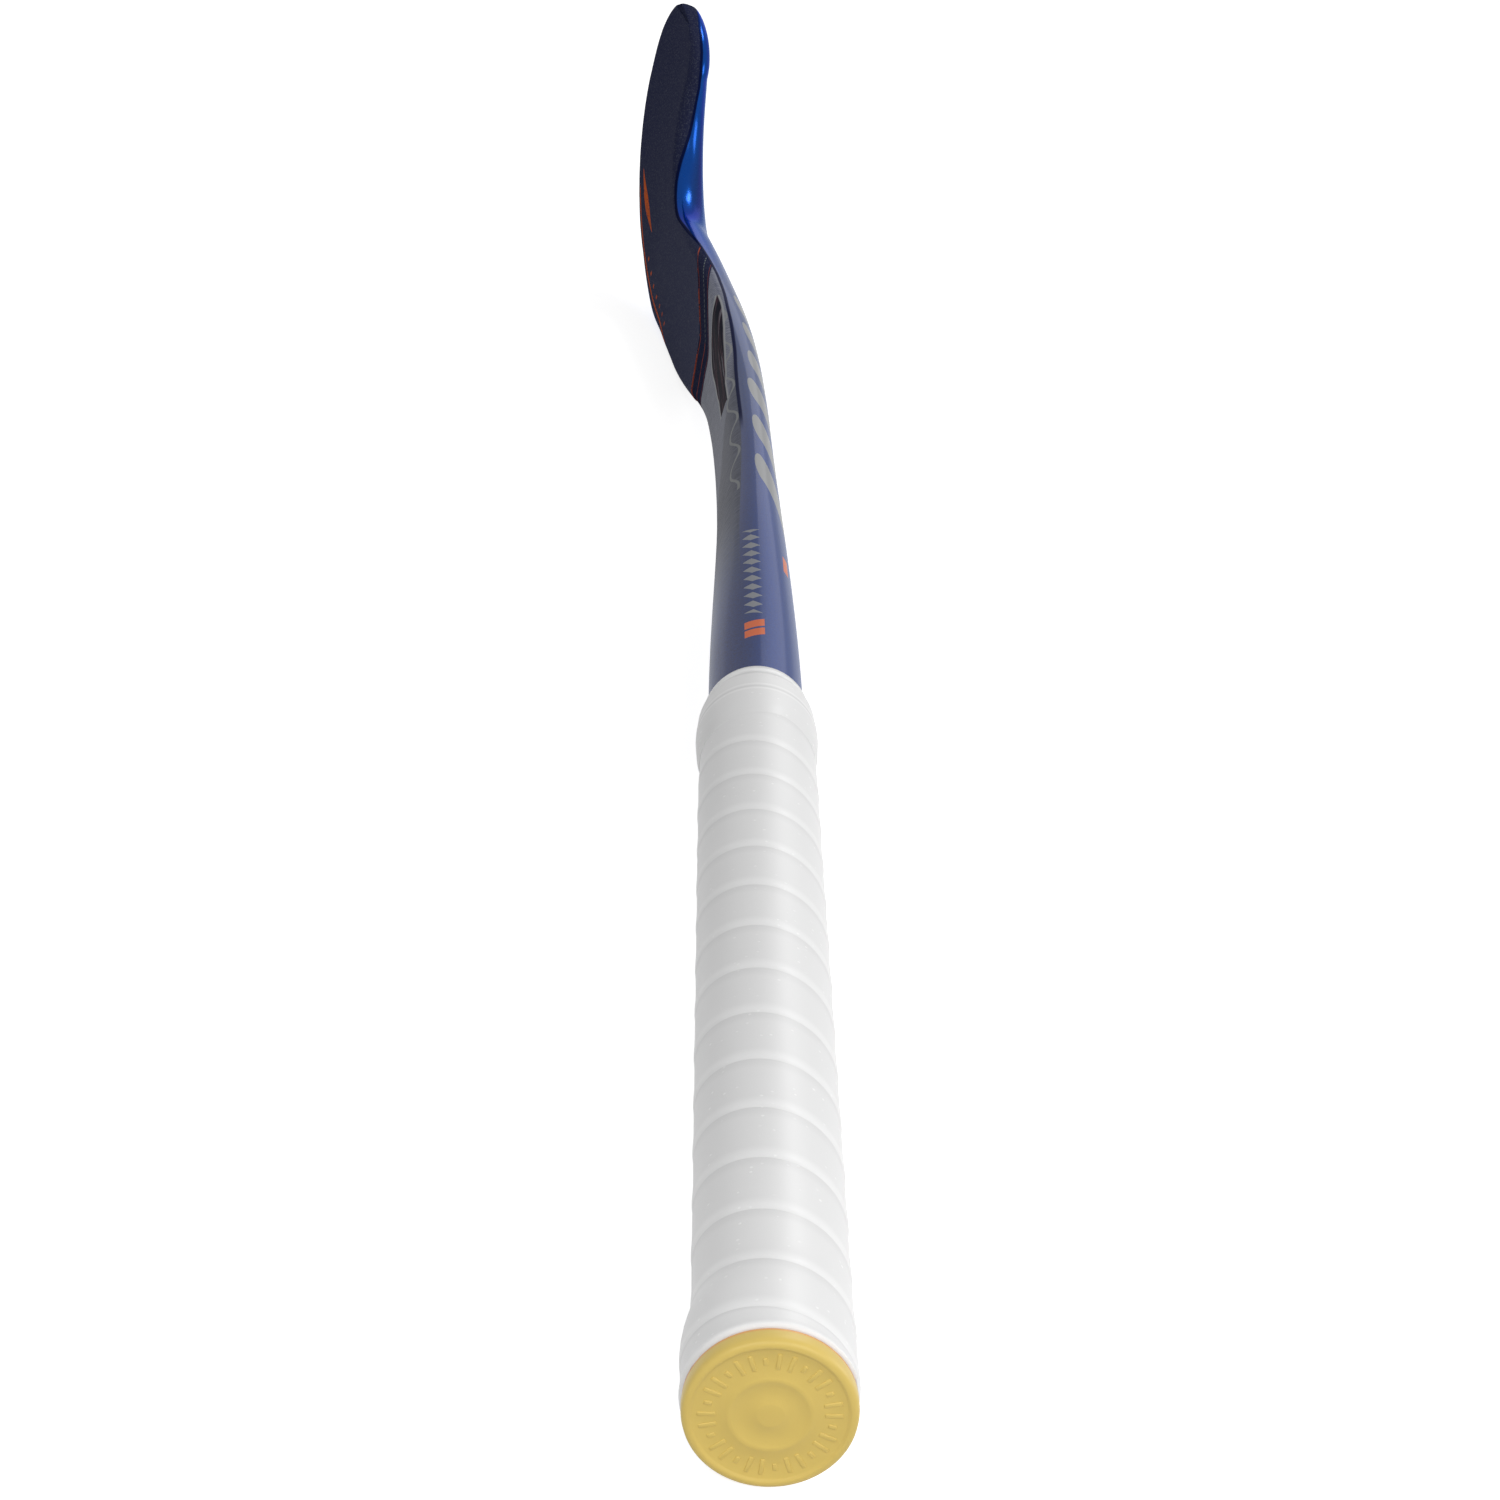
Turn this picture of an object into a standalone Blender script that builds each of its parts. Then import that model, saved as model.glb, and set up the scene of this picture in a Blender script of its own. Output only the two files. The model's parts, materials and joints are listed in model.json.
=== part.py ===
"""Indoor hockey stick, toe up, lying along +Y and touching the floor at its butt and its heel.

Each piece is first built in the stick's own axes: +Y runs from the butt to the head, +Z to the
toe, and the flat playing face looks to -X. One parent empty then lays the stick on the floor.
"""
import math

import bmesh
import bpy
from mathutils import Matrix, Vector

MM = 0.001

# Whole stick
stick_length = 927 * MM
seat_gap = 0.3 * MM
least_edge_radius = 1.2 * MM
section_points = 28

# Round handle
handle_diameter = 29.4 * MM
handle_end = 355 * MM
shell_wall = 2.2 * MM

# Shaft between handle and head
mid_breadth = 35.5 * MM
mid_breadth_at = 500 * MM
mid_thickness = 19.2 * MM
mid_thickness_at = 600 * MM
shaft_edge_radius = 9.0 * MM
face_taper = 3.6 * MM
face_taper_end = 562 * MM

# Hooked head
inner_swell = 3.0 * MM
heel_swell = 12.5 * MM
head_thickness = 20.4 * MM
head_edge_radius = 3.6 * MM
head_back_power = 0.9
head_radius = 69.0 * MM
head_turn = math.radians(99.0)
toe_swell = 1.0 * MM
toe_thickness = 13.3 * MM
toe_thinning_power = 2.9
toe_tip_length = 21.2 * MM
toe_tip_power = 1.7
toe_tip_lean = 0.45
toe_tip_thickness_share = 0.45

# Bow of the flat face
bow_radius = 1515 * MM
head_bow_radius = 360 * MM

# Where things start and end, measured back along the shaft from the start of the hook
bow_lead = 265 * MM
edge_lead = 232 * MM
edge_tail = 42 * MM
inner_lead = 212 * MM
inner_tail = 92 * MM
heel_lead = 177 * MM
heel_tail = 53 * MM
flat_lead = 152 * MM
film_outer_lead = 106 * MM
core_lead = 52 * MM
film_inner_lead = 32 * MM
head_bow_overrun = 22 * MM

# Inner parts
bladder_wall = 0.5 * MM
plug_length = 55 * MM
stem_length = 20 * MM
bore_chamfer = 1.5 * MM

# Butt cap
cap_radius = 18.0 * MM
cap_thickness = 5.0 * MM
cap_offset = 1.0 * MM
cap_rim_width = 3.4 * MM
cap_bevel = 0.9 * MM
cap_recess = 0.7 * MM
cap_centre_radius = 5.0 * MM

# Grip
collar_length = 32 * MM
collar_thickness = 1.55 * MM
collar_lip = 0.4 * MM
tape_thickness = 0.25 * MM
tape_end = 343 * MM
strip_pitch = 22.8 * MM
strip_squeeze = 16.0 * MM
strip_squeeze_turns = 3.0
strip_first_edge = 10.5 * MM
strip_first_angle = math.radians(105.0)
strip_end = 333 * MM
strip_crest = 1.75 * MM
strip_thin_edge = 1.3 * MM
strip_crest_share = 0.14
strip_slope_share = 0.45
strip_self_gap = 0.5 * MM
strip_tongue = 2 * MM
strip_steps = 24
strip_thin_share = 0.82
strip_thin_lead = 12 * MM

# Rubber sleeve over the top of the grip
sleeve_start = 312 * MM
sleeve_end = 351 * MM
sleeve_bulge_at = 327.5 * MM
sleeve_bulge_radius = 18.2 * MM
sleeve_draw_in = 0.5 * MM
sleeve_wall = 0.7 * MM
sleeve_lip = 0.35 * MM
sleeve_top_power = 0.8
sleeve_low_power = 1.2
sleeve_rows = 8
end_tape_length = 7 * MM
end_tape_thickness = 0.3 * MM
end_tape_space = 2 * MM

# Thin wear film on the playing face
film_thickness = 0.35 * MM
film_margin = 0.8 * MM
film_toe_clearance = 3.0 * MM

handle_radius = handle_diameter / 2
bore_radius = handle_radius - shell_wall
head_breadth = mid_breadth + inner_swell + heel_swell
hook_start = stick_length - head_radius - head_breadth / 2
toe_start = hook_start + head_radius * head_turn
toe_end = toe_start + toe_tip_length
bow_start = hook_start - bow_lead
head_bow_start = hook_start + head_bow_overrun
flat_face_at = hook_start - flat_lead
core_start = hook_start - core_lead


def smooth(start, end, value):
    """Rise from 0 at start to 1 at end without a corner."""
    t = min(max((value - start) / (end - start), 0.0), 1.0)
    return t * t * (3 - 2 * t)


def mix(a, b, t):
    return a + (b - a) * t


def face_x(y):
    """Where the flat side lies at this distance from the butt: straight, then bowed to -X."""
    x = -handle_radius + face_taper * smooth(handle_end, face_taper_end, y)
    bow = min(max(y - bow_start, 0.0), head_bow_start - bow_start)
    x -= bow * bow / (2 * bow_radius)
    past = max(y - head_bow_start, 0.0)
    x -= past * (head_bow_start - bow_start) / bow_radius
    return x - past * past / (2 * head_bow_radius)


def inner_growth(s):
    return inner_swell * smooth(hook_start - inner_lead, hook_start - inner_tail, s)


def heel_growth(s):
    return heel_swell * smooth(hook_start - heel_lead, hook_start - heel_tail, s)


def toe_share(s):
    """0 where the hook starts and 1 where the rounded tip of the toe starts."""
    return min(max((s - hook_start) / (toe_start - hook_start), 0.0), 1.0)


def centre(s):
    """Centre line of the outline: point along Y and Z, and the angle turned towards the toe."""
    drop = (inner_growth(s) - heel_growth(s)) / 2
    if s <= hook_start:
        return s, drop, 0.0
    angle = min((s - hook_start) / head_radius, head_turn)
    y = hook_start + head_radius * math.sin(angle)
    z = drop + head_radius * (1 - math.cos(angle))
    past = max(s - toe_start, 0.0)
    return y + past * math.cos(angle), z + past * math.sin(angle), angle


def breadth(s):
    width = mix(handle_diameter, mid_breadth, smooth(handle_end, mid_breadth_at, s))
    return width + inner_growth(s) + heel_growth(s) + toe_swell * smooth(0, 1, toe_share(s))


def thickness(s):
    thick = mix(handle_diameter, mid_thickness, smooth(handle_end, mid_thickness_at, s))
    thick = mix(thick, head_thickness, smooth(hook_start - inner_lead, hook_start - inner_tail, s))
    return mix(thick, toe_thickness, toe_share(s) ** toe_thinning_power)


def edge_radius(s):
    share = smooth(hook_start - edge_lead, hook_start - edge_tail, s)
    return mix(shaft_edge_radius, head_edge_radius, share)


def tip_share(s):
    """Share of the breadth that is left in the rounded tip of the toe."""
    t = min(max((s - toe_start) / toe_tip_length, 0.0), 1.0)
    return math.sqrt(1 - t ** toe_tip_power)


def section(s, inset=0.0):
    """Outline across the stick: pairs of breadth offset and height above the flat face."""
    share = tip_share(s)
    half = breadth(s) / 2
    lean = -toe_tip_lean * (1 - share) * half
    half = half * share - inset
    thick = thickness(s) * mix(toe_tip_thickness_share, 1.0, share) - 2 * inset
    round_part = 1 - smooth(handle_end, flat_face_at, s)
    edge = min(max(edge_radius(s) - inset, least_edge_radius), half * 0.9, thick * 0.45)
    power = mix(head_back_power, 1.0, round_part)
    flat_steps = section_points // 4 - 1
    edge_steps = section_points // 7
    back_steps = section_points - flat_steps - 2 * edge_steps
    shape = []
    for i in range(flat_steps):
        shape.append((mix(half - edge, edge - half, i / flat_steps), 0.0))
    for i in range(edge_steps):
        a = math.pi / 2 * i / edge_steps
        shape.append((edge - half - edge * math.sin(a), edge - edge * math.cos(a)))
    for i in range(back_steps):
        a = math.pi * i / back_steps
        shape.append((-half * math.cos(a), edge + (thick - edge) * math.sin(a) ** power))
    for i in range(edge_steps):
        a = math.pi / 2 * i / edge_steps
        shape.append((half - edge + edge * math.cos(a), edge - edge * math.sin(a)))
    start_angle = math.pi / section_points * flat_steps
    ring = []
    for i, (across, up) in enumerate(shape):
        a = start_angle - 2 * math.pi * i / section_points
        ring_across, ring_up = half * math.sin(a), thick / 2 - thick / 2 * math.cos(a)
        ring.append((mix(across, ring_across, round_part) + lean, mix(up, ring_up, round_part)))
    return ring


def place(s, across, up):
    """Point of the stick at station s, across the breadth and above the flat face."""
    y, z, angle = centre(s)
    y -= math.sin(angle) * across
    z += math.cos(angle) * across
    return Vector((face_x(y) + up, y, z))


def section_ring(s, inset=0.0):
    return [place(s, across, up + inset) for across, up in section(s, inset)]


def stations(start, end):
    """Shared stations of every lofted piece, so that neighbours have parallel facets."""
    marks = [mix(cap_thickness, handle_end, i / 2) for i in (1, 2)]
    marks += [mix(handle_end, hook_start, i / 22) for i in range(1, 23)]
    marks += [mix(hook_start, toe_start, i / 15) for i in range(1, 16)]
    inside = [s for s in marks if start + 1 * MM < s < end - 1 * MM]
    return [start] + inside + [end]


def tip_stations():
    return [toe_start + toe_tip_length * math.sin(math.pi / 2 * i / 6) for i in range(1, 6)]


def ring_faces(mesh, rings):
    for a, b in zip(rings, rings[1:]):
        for i in range(len(a)):
            j = (i + 1) % len(a)
            mesh.faces.new((a[i], a[j], b[j], b[i]))


def close_end(mesh, ring, point):
    tip = mesh.verts.new(point)
    for i in range(len(ring)):
        mesh.faces.new((ring[i], ring[(i + 1) % len(ring)], tip))


def middle(points):
    total = Vector()
    for point in points:
        total += point
    return total / len(points)


def loft(outer, inner=None, tip=None, inner_tip=None):
    """Closed body through rings of points, hollow and open at the first ring if inner is given."""
    mesh = bmesh.new()
    outside = [[mesh.verts.new(p) for p in ring] for ring in outer]
    ring_faces(mesh, outside)
    close_end(mesh, outside[-1], tip or middle(outer[-1]))
    if inner:
        inside = [[mesh.verts.new(p) for p in ring] for ring in inner]
        ring_faces(mesh, inside)
        ring_faces(mesh, [outside[0], inside[0]])
        close_end(mesh, inside[-1], inner_tip or middle(inner[-1]))
    else:
        close_end(mesh, outside[0], middle(outer[0]))
    bmesh.ops.recalc_face_normals(mesh, faces=mesh.faces)
    return mesh


def circle(y, radius, centre_x=0.0, points=36):
    ring = []
    for i in range(points):
        a = 2 * math.pi * i / points
        ring.append(Vector((centre_x + radius * math.cos(a), y, radius * math.sin(a))))
    return ring


def material(name, colour, roughness, metallic=0.0):
    finish = bpy.data.materials.new(name)
    finish.use_nodes = True
    shader = finish.node_tree.nodes["Principled BSDF"]
    shader.inputs["Base Color"].default_value = (*colour, 1.0)
    shader.inputs["Roughness"].default_value = roughness
    shader.inputs["Metallic"].default_value = metallic
    return finish


def add_object(name, mesh_data, finish, smooth_angle=35):
    piece = bpy.data.objects.new(name, mesh_data)
    stick.objects.link(piece)
    mesh_data.materials.append(finish)
    mesh_data.shade_smooth()
    mesh_data.set_sharp_from_angle(angle=math.radians(smooth_angle))
    piece.parent = rest
    return piece


def from_bmesh(name, mesh, finish):
    data = bpy.data.meshes.new(name)
    mesh.to_mesh(data)
    mesh.free()
    return add_object(name, data, finish)


def turned(name, profile, finish, segments=36):
    """Turned piece: a closed profile of radius and distance from the butt, spun about +Y."""
    mesh = bmesh.new()
    corners = [mesh.verts.new((radius, 0.0, y)) for radius, y in profile]
    for a, b in zip(corners, corners[1:] + corners[:1]):
        mesh.edges.new((a, b))
    data = bpy.data.meshes.new(name)
    mesh.to_mesh(data)
    mesh.free()
    piece = add_object(name, data, finish)
    piece.rotation_euler = (-math.pi / 2, 0, 0)
    spin = piece.modifiers.new("spin", "SCREW")
    spin.steps = segments
    spin.render_steps = segments
    spin.use_merge_vertices = True
    spin.merge_threshold = 0.01 * MM
    return piece


def make_shaft_shell():
    start = cap_thickness + seat_gap
    marks = stations(start, toe_start)
    outer = [section_ring(s) for s in marks + tip_stations()]
    inner = [section_ring(s, shell_wall) for s in marks]
    lean = -toe_tip_lean * breadth(toe_end) / 2
    mesh = loft(outer, inner, tip=place(toe_end, lean, toe_thickness * toe_tip_thickness_share / 2))
    finish = material("shell_blue", (0.016, 0.035, 0.16), 0.25, 0.6)
    return from_bmesh("shaft_shell", mesh, finish)


def make_head_core():
    inset = shell_wall + seat_gap
    rings = [section_ring(s, inset) for s in stations(core_start, toe_start - seat_gap)]
    finish = material("core_foam", (0.72, 0.62, 0.38), 0.9)
    return from_bmesh("head_core", loft(rings), finish)


def make_bladder():
    start = cap_thickness + stem_length + plug_length + 3 * seat_gap
    end = core_start - seat_gap
    outer = [section_ring(s, shell_wall + seat_gap) for s in stations(start, end)]
    lining = stations(start, end - bladder_wall)
    inner = [section_ring(s, shell_wall + seat_gap + bladder_wall) for s in lining]
    finish = material("bladder_nylon", (0.75, 0.76, 0.78), 0.5)
    return from_bmesh("inner_bladder", loft(outer, inner), finish)


def make_handle_plug():
    near = cap_thickness + stem_length + 2 * seat_gap
    far = near + plug_length
    radius = bore_radius - seat_gap
    profile = [(0, far), (radius - bore_chamfer, far), (radius, far - bore_chamfer)]
    profile += [(radius, near + bore_chamfer), (radius - bore_chamfer, near), (0, near)]
    finish = material("plug_foam", (0.8, 0.78, 0.7), 0.85)
    return turned("handle_plug", profile, finish)


def make_butt_cap():
    """End cap: rimmed disc, set towards the flat side, on a stem that fills the bore."""
    stem = bore_radius - seat_gap
    inner_rim = cap_radius - cap_rim_width
    soft = 0.3 * cap_bevel
    steps = [
        (0.0, cap_centre_radius, -cap_offset),
        (cap_recess, cap_centre_radius + cap_recess, -cap_offset),
        (cap_recess, inner_rim - cap_recess, -cap_offset),
        (0.0, inner_rim, -cap_offset),
        (0.0, cap_radius - cap_bevel, -cap_offset),
        (soft, cap_radius - soft, -cap_offset),
        (cap_bevel, cap_radius, -cap_offset),
        (cap_thickness - soft, cap_radius, -cap_offset),
        (cap_thickness, cap_radius - soft, -cap_offset),
        (cap_thickness, stem, 0.0),
        (cap_thickness + stem_length - bore_chamfer, stem, 0.0),
        (cap_thickness + stem_length, stem - bore_chamfer, 0.0),
    ]
    rings = [circle(y, radius, x) for y, radius, x in steps]
    finish = material("cap_yellow", (0.62, 0.47, 0.13), 0.5)
    return from_bmesh("butt_cap", loft(rings), finish)


def collar_swell(y):
    """1 over the collar's first half, then down to 0 at its thin end."""
    end = cap_thickness + seat_gap + collar_length
    return 1 - smooth(end - collar_length / 2, end, y)


def collar_outer(y):
    """Radius of the butt collar, which swells the grip at its end."""
    return handle_radius + seat_gap + mix(collar_lip, collar_thickness, collar_swell(y))


def grip_offset(y):
    """How far the grip's axis lies towards the flat side, over the butt collar."""
    return -cap_offset * collar_swell(y)


def make_butt_collar():
    start = cap_thickness + seat_gap
    end = start + collar_length
    marks = [start] + [end - collar_length / 2 * (1 - i / 6) for i in range(7)]
    outer = [circle(y, collar_outer(y), grip_offset(y)) for y in marks]
    inner = [circle(y, handle_radius + seat_gap) for y in (start, end)]
    mesh = bmesh.new()
    outside = [[mesh.verts.new(p) for p in ring] for ring in outer]
    inside = [[mesh.verts.new(p) for p in ring] for ring in inner]
    ring_faces(mesh, outside + inside[::-1] + outside[:1])
    bmesh.ops.recalc_face_normals(mesh, faces=mesh.faces)
    finish = material("collar_foam", (0.5, 0.5, 0.52), 0.9)
    return from_bmesh("butt_collar", mesh, finish)


def make_grip_tape():
    start = cap_thickness + collar_length + 2 * seat_gap
    inner = handle_radius + seat_gap
    outer = inner + tape_thickness
    profile = [(outer, tape_end), (outer, start), (inner, start), (inner, tape_end)]
    finish = material("tape_film", (0.85, 0.84, 0.8), 0.6)
    return turned("grip_under_tape", profile, finish)


def strip_edge(turn):
    """Distance from the butt of the strip's raised edge after this many turns."""
    squeeze = strip_squeeze * (1 - math.exp(-turn / strip_squeeze_turns))
    return strip_first_edge + strip_pitch * turn - squeeze


def strip_base(y):
    """Radius that the strip lies on: the under-tape, or the butt collar near the cap."""
    on_tape = handle_radius + seat_gap + tape_thickness
    return max(on_tape, collar_outer(y)) + seat_gap


def strip_ring(turn):
    """Section of the grip strip: its raised edge is on the butt side."""
    start = cap_thickness + seat_gap
    low = min(max(strip_edge(turn), start), strip_end - strip_tongue / 2)
    high = min(max(strip_edge(turn + 1) - strip_self_gap, start + strip_tongue / 2), strip_end)
    angle = strip_first_angle + 2 * math.pi * turn
    under_sleeve = smooth(sleeve_start - strip_thin_lead, sleeve_start, (low + high) / 2)
    thin = mix(1.0, strip_thin_share, under_sleeve)
    profile = [
        (0.0, 0.0),
        (0.02, 0.86 * strip_crest),
        (strip_crest_share, strip_crest),
        (strip_slope_share, mix(strip_thin_edge, strip_crest, 0.45)),
        (1.0, strip_thin_edge),
        (1.0, 0.0),
        (0.67, 0.0),
        (0.33, 0.0),
    ]
    ring = []
    for share, height in profile:
        y = mix(low, high, share)
        radius = strip_base(y) + height * thin
        x = grip_offset(y) + radius * math.cos(angle)
        ring.append(Vector((x, y, radius * math.sin(angle))))
    return ring


def first_turn():
    """Turn at which the strip's other edge first leaves the cap."""
    turn = 0.0
    while strip_edge(turn + 1) - strip_self_gap > cap_thickness + seat_gap + strip_tongue:
        turn -= 1 / strip_steps
    return turn


def last_turn():
    turn = first_turn()
    while strip_edge(turn) < strip_end - strip_tongue:
        turn += 1 / strip_steps
    return turn


def make_grip_strip():
    """One strip wound up the handle, each turn clear of the next."""
    begin = first_turn()
    count = round((last_turn() - begin) * strip_steps)
    rings = [strip_ring(begin + i / strip_steps) for i in range(count + 1)]
    least = 1.0
    for near, far in zip(rings, rings[strip_steps:]):
        for a in near:
            for b in far:
                least = min(least, (a - b).length)
    print("grip strip: %.1f turns, least gap to itself %.2f mm" % (count / strip_steps, least / MM))
    finish = material("grip_white", (0.82, 0.83, 0.83), 0.55)
    return from_bmesh("grip_strip", loft(rings), finish)


def make_end_tape():
    start = strip_end + end_tape_space
    inner = handle_radius + 2 * seat_gap + tape_thickness
    outer = inner + end_tape_thickness
    end = start + end_tape_length
    profile = [(outer, end), (outer, start), (inner, start), (inner, end)]
    finish = material("end_tape_white", (0.8, 0.8, 0.78), 0.6)
    return turned("grip_end_tape", profile, finish)


def sleeve_outer(y):
    """Barrel shape, full at the bulge and drawn in to a thin lip on the bare shaft."""
    if y > sleeve_bulge_at:
        t = (sleeve_end - y) / (sleeve_end - sleeve_bulge_at)
        neck = handle_radius + seat_gap + sleeve_lip
        return mix(neck, sleeve_bulge_radius, math.sin(math.pi / 2 * t) ** sleeve_top_power)
    t = (sleeve_bulge_at - y) / (sleeve_bulge_at - sleeve_start)
    return sleeve_bulge_radius - sleeve_draw_in * math.sin(math.pi / 2 * t) ** sleeve_low_power


def make_sleeve():
    """Stretch sleeve over the top end of the strip."""
    outer, inner = [], []
    for i in range(sleeve_rows + 1):
        t = i / sleeve_rows
        y = mix(sleeve_end, sleeve_start, t)
        wall = mix(sleeve_lip, sleeve_wall, math.sin(math.pi * t) ** 0.5)
        outer.append((sleeve_outer(y), y))
        inner.append((sleeve_outer(y) - wall, y))
    finish = material("sleeve_white", (0.8, 0.81, 0.81), 0.5)
    return turned("grip_sleeve", outer + inner[::-1], finish)


def make_face_film():
    """Wear film on the flat side of the head, with a slanted upper edge."""
    across_steps = 6
    along_steps = 26
    end = toe_end - film_toe_clearance
    rings = []
    for i in range(along_steps + 1):
        top, bottom = [], []
        for j in range(across_steps + 1):
            side = 1 - 2 * j / across_steps
            start = hook_start - mix(film_inner_lead, film_outer_lead, j / across_steps)
            s = mix(start, end, 1 - (1 - i / along_steps) ** 1.2)
            share = tip_share(s)
            half = breadth(s) / 2 * share - edge_radius(s) - film_margin
            lean = -toe_tip_lean * (1 - share) * breadth(s) / 2
            across = lean + side * max(half, 1 * MM)
            bottom.append(place(s, across, -seat_gap))
            top.append(place(s, across, -seat_gap - film_thickness))
        rings.append(top + bottom[::-1])
    finish = material("film_navy", (0.02, 0.022, 0.045), 0.6)
    return from_bmesh("playing_face_film", loft(rings), finish)


def lay_on_floor():
    """Tilt the stick until butt and heel both touch z = 0, and centre it over the origin."""
    bpy.context.view_layer.update()
    graph = bpy.context.evaluated_depsgraph_get()
    points = []
    for piece in stick.objects:
        data = piece.evaluated_get(graph).data
        points += [piece.matrix_world @ vertex.co for vertex in data.vertices]
    tilt = 0.0
    for _ in range(4):
        turn = Matrix.Rotation(tilt, 4, "X")
        turned_points = [turn @ p for p in points]
        butt = min((p for p in turned_points if p.y < stick_length / 4), key=lambda p: p.z)
        heel = min((p for p in turned_points if p.y > stick_length / 2), key=lambda p: p.z)
        tilt -= math.atan2(heel.z - butt.z, heel.y - butt.y)
    laid = [Matrix.Rotation(tilt, 4, "X") @ p for p in points]
    low = Vector([min(p[i] for p in laid) for i in range(3)])
    high = Vector([max(p[i] for p in laid) for i in range(3)])
    rest.rotation_euler = (tilt, 0, 0)
    rest.location = (-(low.x + high.x) / 2, -(low.y + high.y) / 2, -low.z)
    print("tilt %.4f degrees, size %s mm" % (math.degrees(tilt), [round(v / MM, 2) for v in high - low]))
    bpy.context.view_layer.update()
    hub = rest.matrix_world @ Vector((-cap_offset, 0, 0))
    out = rest.matrix_world.to_3x3() @ Vector((0, -1, 0))
    print("butt face at %s, outward %s" % ([round(v, 6) for v in hub], [round(v, 6) for v in out]))


for old in list(bpy.data.objects):
    bpy.data.objects.remove(old, do_unlink=True)

stick = bpy.data.collections.new("indoor_hockey_stick")
bpy.context.scene.collection.children.link(stick)
rest = bpy.data.objects.new("stick_axes", None)
bpy.context.scene.collection.objects.link(rest)

make_shaft_shell()
make_head_core()
make_bladder()
make_handle_plug()
make_butt_cap()
make_butt_collar()
make_grip_tape()
make_grip_strip()
make_end_tape()
make_sleeve()
make_face_film()
lay_on_floor()
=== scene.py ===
"""Looks of the indoor hockey stick: lacquered body, face coat, wound grip, band and butt cap.

The stick's own axes are the ones that its shape is written in: +Y from the butt to the head,
+Z to the toe, the flat playing face to -X. REST lays those axes on the floor.
"""
import json
import math

import bmesh
import bpy
from mathutils import Matrix, Vector


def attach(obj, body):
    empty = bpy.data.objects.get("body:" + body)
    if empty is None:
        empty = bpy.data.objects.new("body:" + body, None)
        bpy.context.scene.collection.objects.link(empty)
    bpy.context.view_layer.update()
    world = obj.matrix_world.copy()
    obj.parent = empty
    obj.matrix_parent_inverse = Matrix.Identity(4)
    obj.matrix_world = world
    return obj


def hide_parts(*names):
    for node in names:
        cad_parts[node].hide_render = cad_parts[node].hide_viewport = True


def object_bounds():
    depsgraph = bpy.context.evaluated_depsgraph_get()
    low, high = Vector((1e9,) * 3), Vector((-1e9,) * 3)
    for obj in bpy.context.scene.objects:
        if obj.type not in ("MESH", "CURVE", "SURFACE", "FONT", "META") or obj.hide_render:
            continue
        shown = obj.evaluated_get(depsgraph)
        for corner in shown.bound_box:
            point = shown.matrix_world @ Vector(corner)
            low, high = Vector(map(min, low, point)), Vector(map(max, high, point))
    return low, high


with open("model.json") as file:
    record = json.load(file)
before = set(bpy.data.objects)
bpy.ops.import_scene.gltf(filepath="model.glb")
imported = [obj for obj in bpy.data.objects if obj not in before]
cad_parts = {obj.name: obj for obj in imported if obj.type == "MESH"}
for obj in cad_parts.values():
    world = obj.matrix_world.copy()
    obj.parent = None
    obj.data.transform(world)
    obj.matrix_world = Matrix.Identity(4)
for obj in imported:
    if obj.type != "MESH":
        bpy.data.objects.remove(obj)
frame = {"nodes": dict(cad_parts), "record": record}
cad_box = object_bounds()

MM = 0.001

# Whole stick
stick_length = 927 * MM
seat_gap = 0.3 * MM
least_edge_radius = 1.2 * MM
weld_distance = 0.005 * MM
middle_from_butt = 463.3 * MM

# Room kept between the pieces and the sides of the stick's box
body_room = 0.16 * MM
piece_room = 0.01 * MM

# Round handle
handle_diameter = 29.4 * MM
handle_end = 355 * MM
shell_wall = 2.2 * MM

# Shaft between handle and head
mid_breadth = 35.5 * MM
mid_breadth_at = 500 * MM
mid_thickness = 19.2 * MM
mid_thickness_at = 600 * MM
shaft_edge_radius = 9.0 * MM
face_taper = 3.6 * MM
face_taper_end = 562 * MM

# Hooked head
inner_swell = 3.0 * MM
heel_swell = 12.5 * MM
head_thickness = 20.4 * MM
head_edge_radius = 3.6 * MM
head_back_power = 0.9
head_radius = 69.0 * MM
head_turn = math.radians(99.0)
toe_swell = 1.0 * MM
toe_thickness = 13.3 * MM
toe_thinning_power = 2.9
toe_tip_length = 21.2 * MM
toe_tip_power = 1.7
toe_tip_lean = 0.45
toe_corner_ease = 1.0 * MM
toe_corner_reach = 7.5 * MM
toe_tip_thickness_share = 0.45
toe_last_row = 0.985

# Bow of the flat face
bow_radius = 1515 * MM
head_bow_radius = 360 * MM

# Where things start and end, measured back along the shaft from the start of the hook
bow_lead = 265 * MM
edge_lead = 232 * MM
edge_tail = 42 * MM
inner_lead = 212 * MM
inner_tail = 92 * MM
heel_lead = 177 * MM
heel_tail = 53 * MM
flat_lead = 152 * MM
film_outer_lead = 106 * MM
head_bow_overrun = 22 * MM

# Butt cap and collar
cap_radius = 18.0 * MM
cap_thickness = 5.0 * MM
cap_offset = 1.0 * MM
cap_rim_width = 3.4 * MM
cap_bevel = 0.9 * MM
cap_recess = 0.7 * MM
stem_length = 20 * MM
bore_chamfer = 1.5 * MM
collar_length = 32 * MM
collar_thickness = 1.55 * MM
collar_lip = 0.4 * MM
rib_count = 30
rib_lengths = (1.7 * MM, 3.8 * MM, 3.8 * MM)
rib_width = 0.6 * MM
rib_height = 1.0 * MM
rib_bevel = 0.24 * MM
rib_rise = 0.12 * MM

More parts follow.
